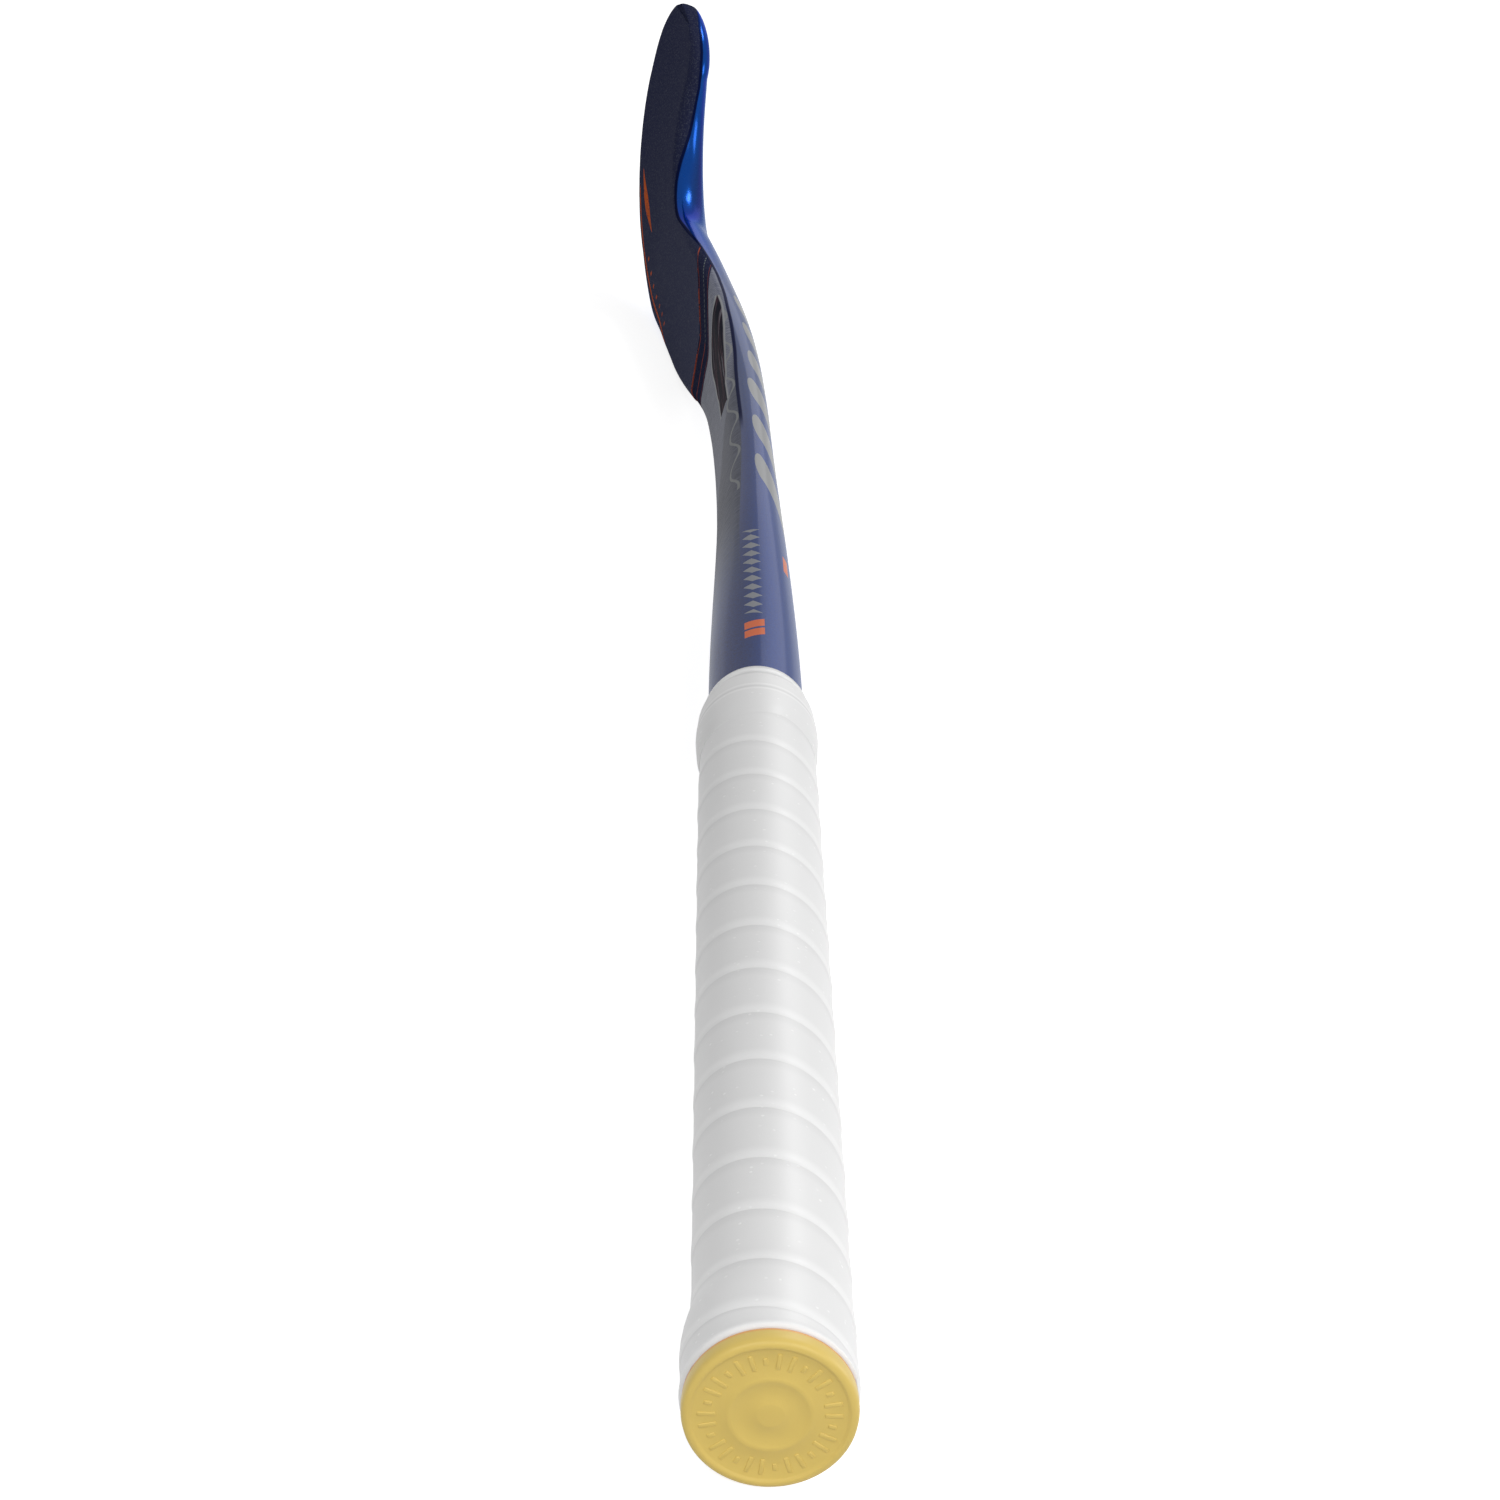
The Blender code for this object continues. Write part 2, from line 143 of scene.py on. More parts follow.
# Grip strip
tape_thickness = 0.25 * MM
strip_pitch = 22.8 * MM
strip_squeeze = 16.0 * MM
strip_squeeze_turns = 3.0
strip_first_edge = 10.5 * MM
strip_first_angle = math.radians(105.0)
strip_end = 333 * MM
strip_crest = 1.66 * MM
strip_thin_edge = 1.48 * MM
strip_crest_share = 0.14
strip_tongue = 2 * MM
strip_tuck = 1.2 * MM
strip_thin_share = 0.82
strip_thin_lead = 12 * MM
strip_wobble = 0.05 * MM

# Sleeve band over the top of the grip
sleeve_start = 312 * MM
sleeve_end = 351 * MM
sleeve_bulge_at = 327.5 * MM
sleeve_bulge_radius = 18.2 * MM
sleeve_draw_in = 0.5 * MM
sleeve_wall = 0.7 * MM
sleeve_lip = 0.35 * MM
sleeve_top_power = 0.8
sleeve_low_power = 1.2
sleeve_trim = 0.04 * MM
sleeve_low_draw = 0.55 * MM
sleeve_low_ramp = 7 * MM
sleeve_tuck = 0.9 * MM
sleeve_tuck_ramp = 2 * MM
sleeve_side_draw = 3.2 * MM
# Rolls at the band's top: distance from the butt, breadth and height in mm
band_rolls = [(349.2, 0.9, 0.42), (346.4, 1.1, -0.40), (341.0, 2.2, 0.30)]
# Light and shade of the band's folds: distance from the butt and half width in mm, share, grey
band_folds = [
    (345.4, 2.4, 0.45, 0.95), (348.6, 0.6, 0.35, 0.40), (341.6, 1.2, 0.28, 0.42),
    (331.5, 0.6, 0.40, 0.95), (329.6, 0.6, 0.22, 0.42), (328.2, 0.6, 0.35, 0.95),
]

# Coat on the playing face
film_thickness = 0.35 * MM
film_toe_clearance = 3.0 * MM
skin_trim = 0.26 * MM
coat_lift = 0.04 * MM
coat_side_room = 0.5 * MM
coat_least_half = 1.0 * MM
coat_end_room = 0.4 * MM
coat_row_power = 1.2
coat_rim = 7.0 * MM
coat_end_slope = 0.7
coat_rim_sink = 0.1 * MM
coat_underside = 0.4 * MM

handle_radius = handle_diameter / 2
bore_radius = handle_radius - shell_wall
head_breadth = mid_breadth + inner_swell + heel_swell
hook_start = stick_length - head_radius - head_breadth / 2
toe_start = hook_start + head_radius * head_turn
toe_end = toe_start + toe_tip_length
bow_start = hook_start - bow_lead
head_bow_start = hook_start + head_bow_overrun
flat_face_at = hook_start - flat_lead

# Tables of the paint on the stick, all in mm
# Edge of the playing face: distance round from the face's middle, by distance from the butt
face_edge = [
    (340, 15.6), (450, 14.6), (570, 16.2), (625, 16.3), (660, 18.1), (705, 22.4), (745, 26.5),
    (762, 27.3), (790, 26.2), (817, 23.6), (845, 22.3), (872, 23.0), (891, 24.8), (908, 27.2),
    (919, 28.4), (932, 28.8), (944, 28.4), (953, 27.2), (960, 24.6), (966, 20.0), (970, 14.6),
    (973, 8.4), (976, 3.0),
]
# Slanted end of the navy coat: distance from the butt, by distance round from the face's middle
coat_end = [
    (-40, 708.0), (-18, 718.5), (-11, 722.0), (-4.5, 725.5), (2.5, 729.5), (7, 739.5),
    (13.5, 755.0), (20, 770.0), (25, 789.0), (40, 848.0),
]
# Orange line near the face's outer edge, by distance from the butt
outer_line = [
    (790, 24.5), (806, 22.6), (825, 19.6), (844, 18.6), (876, 20.2), (900, 21.5), (920, 22.5),
]
# Half width of the tapered slash, by distance from its middle
slash_taper = [(-16, 0.0), (-8, 1.3), (0, 2.3), (9, 1.2), (16, 0.0)]
# Dark leaf-shaped patch above the coat: its middle and half width, by distance from the butt
patch_middle = [
    (616, 6.1), (630, 7.1), (642, 7.4), (658, 7.8), (678, 9.0), (692, 11.7), (707, 16.1),
    (716, 19.6), (728, 22.3),
]
patch_half_width = [
    (616, 0.0), (624, 1.5), (632, 3.2), (642, 4.7), (658, 5.6), (678, 6.8), (692, 6.3),
    (707, 4.2), (716, 1.9), (728, 0.0),
]
# Reach of the light weave round the face, by distance from the butt
weave_reach = [
    (500, 6.0), (530, 12.0), (545, 14.6), (557, 17.7), (575, 21.1), (597, 25.3), (614, 31.0),
    (633, 34.0), (660, 38.0), (760, 60.0),
]

# How the stick lies on the floor, from the record's mount at the butt
mount = frame["record"]["mounts"][0]
butt_out = Vector(mount["axis"])
lay = Matrix.Rotation(math.atan2(-butt_out.z, -butt_out.y), 4, "X")
REST = Matrix.Translation(Vector(mount["pos_m"]) - lay @ Vector((-cap_offset, 0, 0))) @ lay

# Light: the floor's own glow and the air's light, and each lamp's place, aim, size and power
floor_glow = 0.80
air_light = 0.33
softboxes = [
    ("near_softbox", (0.35, -0.95, 0.85), (0.02, -0.4, 0.0), (0.7, 0.7), 4.3),
    ("low_softbox", (0.6, -1.3, 0.5), (0.0, -0.3, 0.0), (0.9, 0.6), 1.5),
    ("side_softbox", (1.45, 0.0, 0.62), (0.0, 0.0, 0.0), (0.6, 0.6), 6.6),
    ("far_softbox", (0.6, 2.4, 0.85), (0.0, 0.3, 0.0), (1.1, 0.8), 2.4),
    ("left_softbox", (-0.4, -1.0, 0.55), (0.0, -0.45, 0.02), (0.5, 0.4), 2.5),
    ("spark_lamp", REST @ Vector((0.341, 1.374, 1.04)), (0.0, 0.4, 0.03), (0.26, 0.26), 3.4),
]


# Shape of the stick

def smooth(start, end, value):
    """Rise from 0 at start to 1 at end without a corner."""
    t = min(max((value - start) / (end - start), 0.0), 1.0)
    return t * t * (3 - 2 * t)


def mix(a, b, t):
    return a + (b - a) * t


def face_x(y):
    """Where the flat side lies at this distance from the butt: straight, then bowed to -X."""
    x = -handle_radius + face_taper * smooth(handle_end, face_taper_end, y)
    bow = min(max(y - bow_start, 0.0), head_bow_start - bow_start)
    x -= bow * bow / (2 * bow_radius)
    past = max(y - head_bow_start, 0.0)
    x -= past * (head_bow_start - bow_start) / bow_radius
    return x - past * past / (2 * head_bow_radius)


def inner_growth(s):
    return inner_swell * smooth(hook_start - inner_lead, hook_start - inner_tail, s)


def heel_growth(s):
    return heel_swell * smooth(hook_start - heel_lead, hook_start - heel_tail, s)


def toe_share(s):
    """0 where the hook starts and 1 where the rounded tip of the toe starts."""
    return min(max((s - hook_start) / (toe_start - hook_start), 0.0), 1.0)


def centre(s):
    """Centre line of the outline: point along Y and Z, and the angle turned towards the toe."""
    drop = (inner_growth(s) - heel_growth(s)) / 2
    if s <= hook_start:
        return s, drop, 0.0
    angle = min((s - hook_start) / head_radius, head_turn)
    y = hook_start + head_radius * math.sin(angle)
    z = drop + head_radius * (1 - math.cos(angle))
    past = max(s - toe_start, 0.0)
    return y + past * math.cos(angle), z + past * math.sin(angle), angle


def breadth(s):
    width = mix(handle_diameter, mid_breadth, smooth(handle_end, mid_breadth_at, s))
    return width + inner_growth(s) + heel_growth(s) + toe_swell * smooth(0, 1, toe_share(s))


def thickness(s):
    thick = mix(handle_diameter, mid_thickness, smooth(handle_end, mid_thickness_at, s))
    thick = mix(thick, head_thickness, smooth(hook_start - inner_lead, hook_start - inner_tail, s))
    return mix(thick, toe_thickness, toe_share(s) ** toe_thinning_power)


def edge_radius(s):
    share = smooth(hook_start - edge_lead, hook_start - edge_tail, s)
    return mix(shaft_edge_radius, head_edge_radius, share)


def tip_share(s):
    """Share of the breadth that is left in the rounded tip of the toe."""
    t = min(max((s - toe_start) / toe_tip_length, 0.0), 1.0)
    return math.sqrt(1 - t ** toe_tip_power)


def section(s, points, inset=0.0):
    """Outline across the stick: pairs of breadth offset and height above the flat face."""
    share = tip_share(s)
    half = breadth(s) / 2
    lean = -toe_tip_lean * (1 - share) * half
    half = half * share - inset
    thick = thickness(s) * mix(toe_tip_thickness_share, 1.0, share) - 2 * inset
    round_part = 1 - smooth(handle_end, flat_face_at, s)
    edge = min(max(edge_radius(s) - inset, least_edge_radius), half * 0.9, thick * 0.45)
    power = mix(head_back_power, 1.0, round_part)
    flat_steps = points // 4 - 1
    edge_steps = points // 7
    back_steps = points - flat_steps - 2 * edge_steps
    shape = []
    for i in range(flat_steps):
        shape.append((mix(half - edge, edge - half, i / flat_steps), 0.0))
    for i in range(edge_steps):
        a = math.pi / 2 * i / edge_steps
        shape.append((edge - half - edge * math.sin(a), edge - edge * math.cos(a)))
    for i in range(back_steps):
        a = math.pi * i / back_steps
        shape.append((-half * math.cos(a), edge + (thick - edge) * math.sin(a) ** power))
    for i in range(edge_steps):
        a = math.pi / 2 * i / edge_steps
        shape.append((half - edge + edge * math.cos(a), edge - edge * math.sin(a)))
    start_angle = math.pi / points * flat_steps
    ease = toe_corner_ease * math.exp(-((s - toe_start) / toe_corner_reach) ** 2)
    ring = []
    for i, (across, up) in enumerate(shape):
        a = start_angle - 2 * math.pi * i / points
        ring_across, ring_up = half * math.sin(a), thick / 2 - thick / 2 * math.cos(a)
        across = mix(across, ring_across, round_part)
        across -= ease * max(across / half, 0.0) ** 2
        ring.append((across + lean, mix(up, ring_up, round_part)))
    return ring


def place(s, across, up):
    """Point of the stick at station s, across the breadth and above the flat face."""
    y, z, angle = centre(s)
    y -= math.sin(angle) * across
    z += math.cos(angle) * across
    return Vector((face_x(y) + up, y, z))


# Making pieces

def grid_sheet(columns, rows, point_at):
    """Grid of faces laid by point_at(column, row), which gives a point and its wrap position."""
    mesh = bmesh.new()
    bmesh.ops.create_grid(mesh, x_segments=columns, y_segments=rows, size=0.5)
    wrap = mesh.loops.layers.uv.new("wrap")
    laid = {}
    for vert in mesh.verts:
        column = round((vert.co.x + 0.5) * columns)
        row = round((vert.co.y + 0.5) * rows)
        laid[vert] = point_at(column, row)
    for face in mesh.faces:
        for loop in face.loops:
            loop[wrap].uv = laid[loop.vert][1]
    for vert, (point, _) in laid.items():
        vert.co = point
    return mesh


def merge(mesh):
    bmesh.ops.remove_doubles(mesh, verts=mesh.verts, dist=weld_distance)


def mesh_data(name, mesh):
    """Mesh data of a worked mesh, which is freed."""
    data = bpy.data.meshes.new(name)
    mesh.to_mesh(data)
    mesh.free()
    return data


def new_object(name, data):
    """Object of this data, put in the scene."""
    made = bpy.data.objects.new(name, data)
    bpy.context.scene.collection.objects.link(made)
    return made


def open_edges(mesh):
    return [e for e in mesh.edges if e.is_boundary]


def add_sheet(mesh, other):
    """Take another mesh's faces into this one."""
    data = mesh_data("sheet", other)
    mesh.from_mesh(data)
    bpy.data.meshes.remove(data)


def turn_out(mesh):
    """Turn every face outwards."""
    bmesh.ops.recalc_face_normals(mesh, faces=mesh.faces)


def join_rims(mesh):
    """Bridge the open rims of two sheets and turn every face outwards."""
    bmesh.ops.bridge_loops(mesh, edges=open_edges(mesh))
    turn_out(mesh)


def close_and_turn_out(mesh):
    """Fill what is still open and turn every face outwards."""
    bmesh.ops.holes_fill(mesh, edges=open_edges(mesh))
    turn_out(mesh)


def keep_inside(mesh, room):
    """Hold a piece's points this far inside the sides of the stick's own box."""
    low, high = cad_box
    for vert in mesh.verts:
        vert.co.x = min(max(vert.co.x, low[0] + room), high[0] - room)
        vert.co.y = min(max(vert.co.y, low[1] + room), high[1] - room)
        vert.co.z = min(max(vert.co.z, low[2] + piece_room), high[2] - room)


def add_piece(name, mesh, finish, stands_for, smooth_angle=40):
    """Put a finished mesh, built in the stick's own axes, on the floor as a piece of the stick."""
    bmesh.ops.transform(mesh, matrix=REST, verts=mesh.verts)
    keep_inside(mesh, body_room if name == "stick_body" else piece_room)
    data = mesh_data(name, mesh)
    data.materials.append(finish)
    data.shade_smooth()
    data.set_sharp_from_angle(angle=math.radians(smooth_angle))
    piece = new_object(name, data)
    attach(piece, "root")
    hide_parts(stands_for)


def spin_profile(profile, segments, offset=0.0):
    """Turn a profile of radius and distance from the butt about the handle's axis."""
    mesh = bmesh.new()
    verts = [mesh.verts.new((offset + radius, y, 0.0)) for radius, y in profile]
    edges = [mesh.edges.new(pair) for pair in zip(verts, verts[1:])]
    bmesh.ops.spin(
        mesh, geom=verts + edges, cent=(offset, 0, 0), axis=(0, 1, 0),
        angle=2 * math.pi, steps=segments, use_merge=True,
    )
    merge(mesh)
    turn_out(mesh)
    return mesh


# Making finishes

class Paint:
    """Adds and joins the nodes of one finish or one shared effect."""

    def __init__(self, tree):
        self.tree = tree

    def node(self, kind, feeds=None, **settings):
        made = self.tree.nodes.new("ShaderNode" + kind)
        for name, value in settings.items():
            setattr(made, name, value)
        for socket, value in (feeds or {}).items():
            self.feed(made.inputs[socket], value)
        return made

    def feed(self, socket, value):
        if isinstance(value, bpy.types.NodeSocket):
            self.tree.links.new(value, socket)
        elif isinstance(value, tuple) and socket.type == "RGBA":
            socket.default_value = (*value, 1.0)
        else:
            socket.default_value = value

    def use(self, effect, feeds):
        """A shared effect, placed with its own values: what it gives."""
        return self.node("Group", feeds, node_tree=effect).outputs

    def calc(self, operation, *values):
        made = self.node("Math", operation=operation)
        for socket, value in zip(made.inputs, values):
            self.feed(socket, value)
        return made.outputs[0]

    def chain(self, operation, values):
        """One operation over two or more values in turn."""
        result = values[0]
        for value in values[1:]:
            result = self.calc(operation, result, value)
        return result

    def times(self, *values):
        return self.chain("MULTIPLY", values)

    def most(self, *values):
        return self.chain("MAXIMUM", values)

    def plus(self, a, b):
        return self.calc("ADD", a, b)

    def minus(self, a, b):
        return self.calc("SUBTRACT", a, b)

    def line(self, value, slope, start):
        """Straight line: value times slope, plus start."""
        return self.calc("MULTIPLY_ADD", value, slope, start)

    def without(self, share):
        """What a share leaves of 1."""
        return self.calc("SUBTRACT", 1.0, share)

    def away(self, value, middle):
        """Distance of a value from a middle, on either side."""
        return self.calc("ABSOLUTE", self.minus(value, middle))

    def repeat(self, value, rate):
        """Saw from 0 to 1, this many times for each unit of the value."""
        return self.calc("FRACT", self.times(value, rate))

    def ramp(self, value, start, end, before, after):
        """Smooth step between two results, from start to end."""
        feeds = {0: value, 1: start, 2: end, 3: before, 4: after}
        return self.node("MapRange", feeds, interpolation_type="SMOOTHSTEP").outputs[0]

    def rise(self, value, start, end):
        """0 below start and 1 above end."""
        return self.ramp(value, start, end, 0.0, 1.0)

    def fall(self, value, start, end):
        """1 below start and 0 above end."""
        return self.ramp(value, start, end, 1.0, 0.0)

    def stripe(self, position, centre, half_width, softness):
        """Mask of a soft-edged stripe, from the shared effect."""
        return self.use(stripe_mask, {
            "Position": position, "Centre": centre, "Half Width": half_width, "Softness": softness,
        })[0]

    def blend(self, share, a, b, blend_type="MIX"):
        made = self.node("Mix", {0: share, 6: a, 7: b}, data_type="RGBA", blend_type=blend_type)
        return made.outputs[2]

    def curve(self, value, low, high, top, points):
        """Smooth curve through points of (value, result), both in the same unit as given."""
        made = self.node("FloatCurve")
        drawn = made.mapping.curves[0].points
        for i, (at, result) in enumerate(points):
            spot = ((at - low) / (high - low), result / top)
            if i == 0:
                drawn[0].location = spot
            elif i == len(points) - 1:
                drawn[-1].location = spot
            else:
                drawn.new(*spot)
        made.mapping.update()
        share = self.node("MapRange", {0: value, 1: low, 2: high}).outputs[0]
        self.feed(made.inputs["Value"], share)
        return self.times(made.outputs[0], top)

    def where(self):
        """Place on the object."""
        return self.node("TexCoord").outputs["Object"]

    def split(self, vector):
        return self.node("SeparateXYZ", {0: vector}).outputs

    def noise(self, where, scale, detail):
        feeds = {"Vector": where, "Scale": scale, "Detail": detail}
        return self.node("TexNoise", feeds).outputs[0]

    def grain_normal(self, height, distance, strength):
        feeds = {"Height": height, "Distance": distance, "Strength": strength}
        return self.node("Bump", feeds).outputs[0]


def new_effect(name, inputs, outputs):
    """Shared effect: a node group with named inputs and outputs, each a number or a colour."""
    tree = bpy.data.node_groups.new(name, "ShaderNodeTree")
    for side, labels in (("INPUT", inputs), ("OUTPUT", outputs)):
        for label in labels:
            kind = "NodeSocketColor" if "Colour" in label else "NodeSocketFloat"
            tree.interface.new_socket(name=label, in_out=side, socket_type=kind)
    given = tree.nodes.new("NodeGroupInput").outputs
    gives = tree.nodes.new("NodeGroupOutput").inputs
    return Paint(tree), given, gives


def make_stripe():
    """Mask of a soft-edged stripe about a centre value."""
    paint, given, gives = new_effect(
        "stripe", ["Position", "Centre", "Half Width", "Softness"], ["Mask"]
    )
    far = paint.plus(given["Half Width"], given["Softness"])
    near = paint.minus(given["Half Width"], given["Softness"])
    off = paint.away(given["Position"], given["Centre"])
    paint.feed(gives["Mask"], paint.fall(off, near, far))
    return paint.tree


def make_uneven_tone():
    """Slight light and dark variation of one colour."""
    paint, given, gives = new_effect("uneven_tone", ["Colour", "Scale", "Amount"], ["Colour"])
    swing = paint.minus(paint.noise(paint.where(), given["Scale"], 4.0), 0.5)
    factor = paint.line(swing, paint.times(given["Amount"], 2.0), 1.0)
    grey = paint.node("CombineColor", {0: factor, 1: factor, 2: factor}).outputs[0]
    paint.feed(gives["Colour"], paint.blend(1.0, given["Colour"], grey, "MULTIPLY"))
    return paint.tree


def make_pores():
    """Fine open pores and a soft grain, as a height and as a mask of the pores."""
    paint, given, gives = new_effect("pores", ["Scale", "Pore Size", "Grain"], ["Height", "Mask"])
    where = paint.where()
    cells = paint.node("TexVoronoi", {"Vector": where, "Scale": given["Scale"]}).outputs
    pick = paint.node("SeparateColor", {0: cells["Color"]}).outputs[0]
    core = paint.times(given["Pore Size"], 0.35)
    near = paint.fall(cells["Distance"], core, given["Pore Size"])
    mask = paint.times(near, paint.rise(pick, 0.55, 0.95))
    grain = paint.noise(where, paint.times(given["Scale"], 2.2), 3.0)
    paint.feed(gives["Height"], paint.minus(paint.times(grain, given["Grain"]), mask))
    paint.feed(gives["Mask"], mask)
    return paint.tree


def make_hairlines():
    """Faint hairline scratches along the stick, which dull a gloss."""
    paint, given, gives = new_effect("hairlines", ["Scale", "Amount"], ["Mask"])
    feeds = {"Vector": paint.where(), "Scale": (9.0, 0.5, 9.0)}
    drawn = paint.node("Mapping", feeds).outputs[0]
    mask = paint.rise(paint.noise(drawn, given["Scale"], 6.0), 0.58, 0.72)
    paint.feed(gives["Mask"], paint.times(mask, given["Amount"]))
    return paint.tree


stripe_mask = make_stripe()
uneven_tone = make_uneven_tone()
pores = make_pores()
hairlines = make_hairlines()


def new_finish(name, roughness, **plain):
    """Empty finish with one Principled shader, its plain values set on its own sockets."""
    finish = bpy.data.materials.new(name)
    finish.use_nodes = True
    shader = finish.node_tree.nodes["Principled BSDF"].inputs
    shader["Roughness"].default_value = roughness
    for label, value in plain.items():
        shader[label.replace("_", " ")].default_value = value
    return finish, Paint(finish.node_tree), shader


def wrap_position(paint):
    """Distance from the butt and round the stick from the middle of the face, in millimetres."""
    split = paint.split(paint.node("UVMap", uv_map="wrap").outputs[0])
    return paint.times(split[0], 1 / MM), paint.times(split[1], 1 / MM)


# Paint colours
royal_blue = (0.018, 0.042, 0.160)
# Darker blue near the face's edges: partly a fade in the lacquer, partly painted shade
fade_and_shade_blue = (0.014, 0.020, 0.060)
# Greyer blue that the shaft turns to towards the head
greyer_blue = (0.060, 0.072, 0.128)
gloss_blue = (0.0005, 0.040, 0.225)
# Greyish navy for a painted dark reflection on the head's outer rounding
dark_reflection_blue = (0.016, 0.026, 0.080)
flake_blue = (0.012, 0.075, 0.290)
line_blue = (0.003, 0.007, 0.045)
face_navy = (0.021, 0.025, 0.062)
speckle_navy = (0.060, 0.066, 0.102)
weave_silver = (0.265, 0.280, 0.350)
shade_silver = (0.120, 0.128, 0.172)
bare_lavender = (0.070, 0.076, 0.106)
mark_grey = (0.265, 0.270, 0.280)
wave_grey = (0.27, 0.28, 0.28)
rim_grey = (0.36, 0.37, 0.38)
stitch_grey = (0.20, 0.23, 0.23)
mark_orange = (0.620, 0.120, 0.030)
patch_dark = (0.008, 0.009, 0.020)
patch_brown = (0.060, 0.030, 0.044)
patch_light = (0.16, 0.16, 0.19)
grip_white = (0.765, 0.765, 0.765)
cap_yellow = (0.665, 0.488, 0.120)
cap_orange = (0.72, 0.28, 0.10)

# Lines of the face in mm: an at or a span is a stripe's centre, half width and softness, across
# the line or along it, and a fade is where round the face the line comes in or gives way
inner_line_at = (0.0, 0.55, 0.3)
second_line_at = (-16.0, 0.6, 0.25)
second_line_fade = (2.6, 4.0)
third_line_at = (-28.6, 0.55, 0.25)
stitch_line_at = (-16.8, 0.9, 0.2)
stitch_fade = (-1.0, 7.0)
stitches_per_mm = 0.31
edge_line_at = (-1.0, 0.5, 0.25)
edge_line_span = (850.0, 48.0, 2.0)
ticks_per_mm = 0.115
tick_row_at = (3.0, 0.8, 0.3)
tick_span = (836.0, 30.0, 1.0)
slash_middle = 889.0
slash_girth = -14.0
slash_lean = -0.30
slash_softness = 0.2
slash_span = (0.0, 15.5, 0.3)
dark_line_at = (0.4, 0.7, 0.3)
dark_line_span = (777.0, 198.0, 12.0)

# Marks on the shaft in mm: how far apart they are, where round the shaft, and their spans along it
bar_period = 44.0
bar_lean = 2.8
bar_girth = 32.0
bar_drift = 0.095
bar_drift_from = 630.0
bar_straight_half = 8.6
bar_edge = (4.1, 4.4)
bar_span = (704.0, 132.0, 0.5)
stud_period = 7.0
stud_girth = 18.6
stud_half_length = 2.7
stud_half_height = 3.2
stud_span = (430.5, 35.0, 0.1)
wave_period = 38.0
wave_swing = 4.8
wave_line_at = (-0.9, 0.55, 0.25)
wave_span = (612.0, 102.0, 0.5)
block_lean = -0.5
block_at = (18.8, 3.2, 0.1)
block_span = (374.0, 6.0, 0.1)
block_gap = (374.0, 0.7, 0.1)
dash_at = (32.5, 1.5, 0.1)
dash_span = (448.0, 6.5, 0.1)
patch_span = (672.0, 55.0, 0.5)
patch_rim = 0.9

# Where one paint gives way to the next, in mm from the butt
face_paint_rise = (400.0, 520.0)
greyer_rise = (540.0, 660.0)
head_rise = (730.0, 850.0)


def face_marks(paint, along, girth, past_end, colour):
    """Orange and grey lines of the face, laid over a colour."""
    worn = paint.rise(paint.noise(paint.where(), 900.0, 2.0), 0.30, 0.45)
    inner_line = paint.times(paint.stripe(past_end, *inner_line_at), 0.7)
    lower = paint.fall(girth, *second_line_fade)
    second_line = paint.times(paint.stripe(past_end, *second_line_at), lower, 0.65)
    third_line = paint.times(paint.stripe(past_end, *third_line_at), 0.32)
    stitches = paint.rise(paint.repeat(along, stitches_per_mm), 0.32, 0.40)
    stitches = paint.times(stitches, paint.stripe(past_end, *stitch_line_at))
    stitches = paint.times(stitches, paint.rise(girth, *stitch_fade))
    outside = paint.plus(girth, paint.curve(along, 790.0, 920.0, 30.0, outer_line))
    edge_line = paint.stripe(outside, *edge_line_at)
    edge_line = paint.times(edge_line, paint.stripe(along, *edge_line_span))
    ticks = paint.stripe(paint.repeat(along, ticks_per_mm), 0.5, 0.10, 0.03)
    ticks = paint.times(ticks, paint.stripe(outside, *tick_row_at))
    ticks = paint.times(ticks, paint.stripe(along, *tick_span))
    slash_run = paint.minus(along, slash_middle)
    slash_half = paint.curve(slash_run, -16.0, 16.0, 3.0, slash_taper)
    slash_at = paint.line(slash_run, slash_lean, slash_girth)
    slash = paint.stripe(girth, slash_at, slash_half, slash_softness)
    slash = paint.times(slash, paint.stripe(slash_run, *slash_span))
    orange = paint.most(inner_line, second_line, third_line, edge_line, ticks, slash)
    colour = paint.blend(paint.times(orange, worn), colour, mark_orange)
    return paint.blend(paint.times(stitches, 0.85), colour, stitch_grey)


def make_navy_face():
    """Navy of the face's matt coat with its lines, its grain, and the distance past its end."""
    paint, given, gives = new_effect(
        "navy_face", ["Along", "Girth", "Navy Colour"], ["Colour", "Grain", "Past End"]
    )
    along, girth = given["Along"], given["Girth"]
    past_end = paint.minus(along, paint.curve(girth, -40.0, 40.0, 1000.0, coat_end))
    grain = paint.noise(paint.where(), 1500.0, 2.0)
    speckled = paint.blend(paint.rise(grain, 0.45, 0.75), given["Navy Colour"], speckle_navy)
    paint.feed(gives["Colour"], face_marks(paint, along, girth, past_end, speckled))
    paint.feed(gives["Grain"], grain)
    paint.feed(gives["Past End"], past_end)
    return paint.tree


navy_face = make_navy_face()


def grey_bars(paint, along, girth):
    """Slanted bars with round ends on the back of the shaft."""
    slant = paint.line(girth, bar_lean, along)
    run = paint.minus(paint.repeat(slant, 1 / bar_period), 0.5)
    run = paint.times(run, bar_period / 2.97)
    outward = paint.most(paint.minus(along, bar_drift_from), 0.0)
    off = paint.away(girth, paint.line(outward, bar_drift, bar_girth))
    off = paint.times(paint.most(paint.minus(off, bar_straight_half), 0.0), 1.6)
    far = paint.calc("SQRT", paint.plus(paint.times(run, run), paint.times(off, off)))
    return paint.times(paint.fall(far, *bar_edge), paint.stripe(slant, *bar_span))


def grey_studs(paint, along, girth):
    """Row of small lozenges below the face's inner edge."""
    run = paint.away(paint.repeat(along, 1 / stud_period), 0.5)
    run = paint.times(run, stud_period / stud_half_length)
    far = paint.plus(run, paint.times(paint.away(girth, stud_girth), 1 / stud_half_height))
    return paint.times(paint.fall(far, 0.92, 1.0), paint.stripe(along, *stud_span))


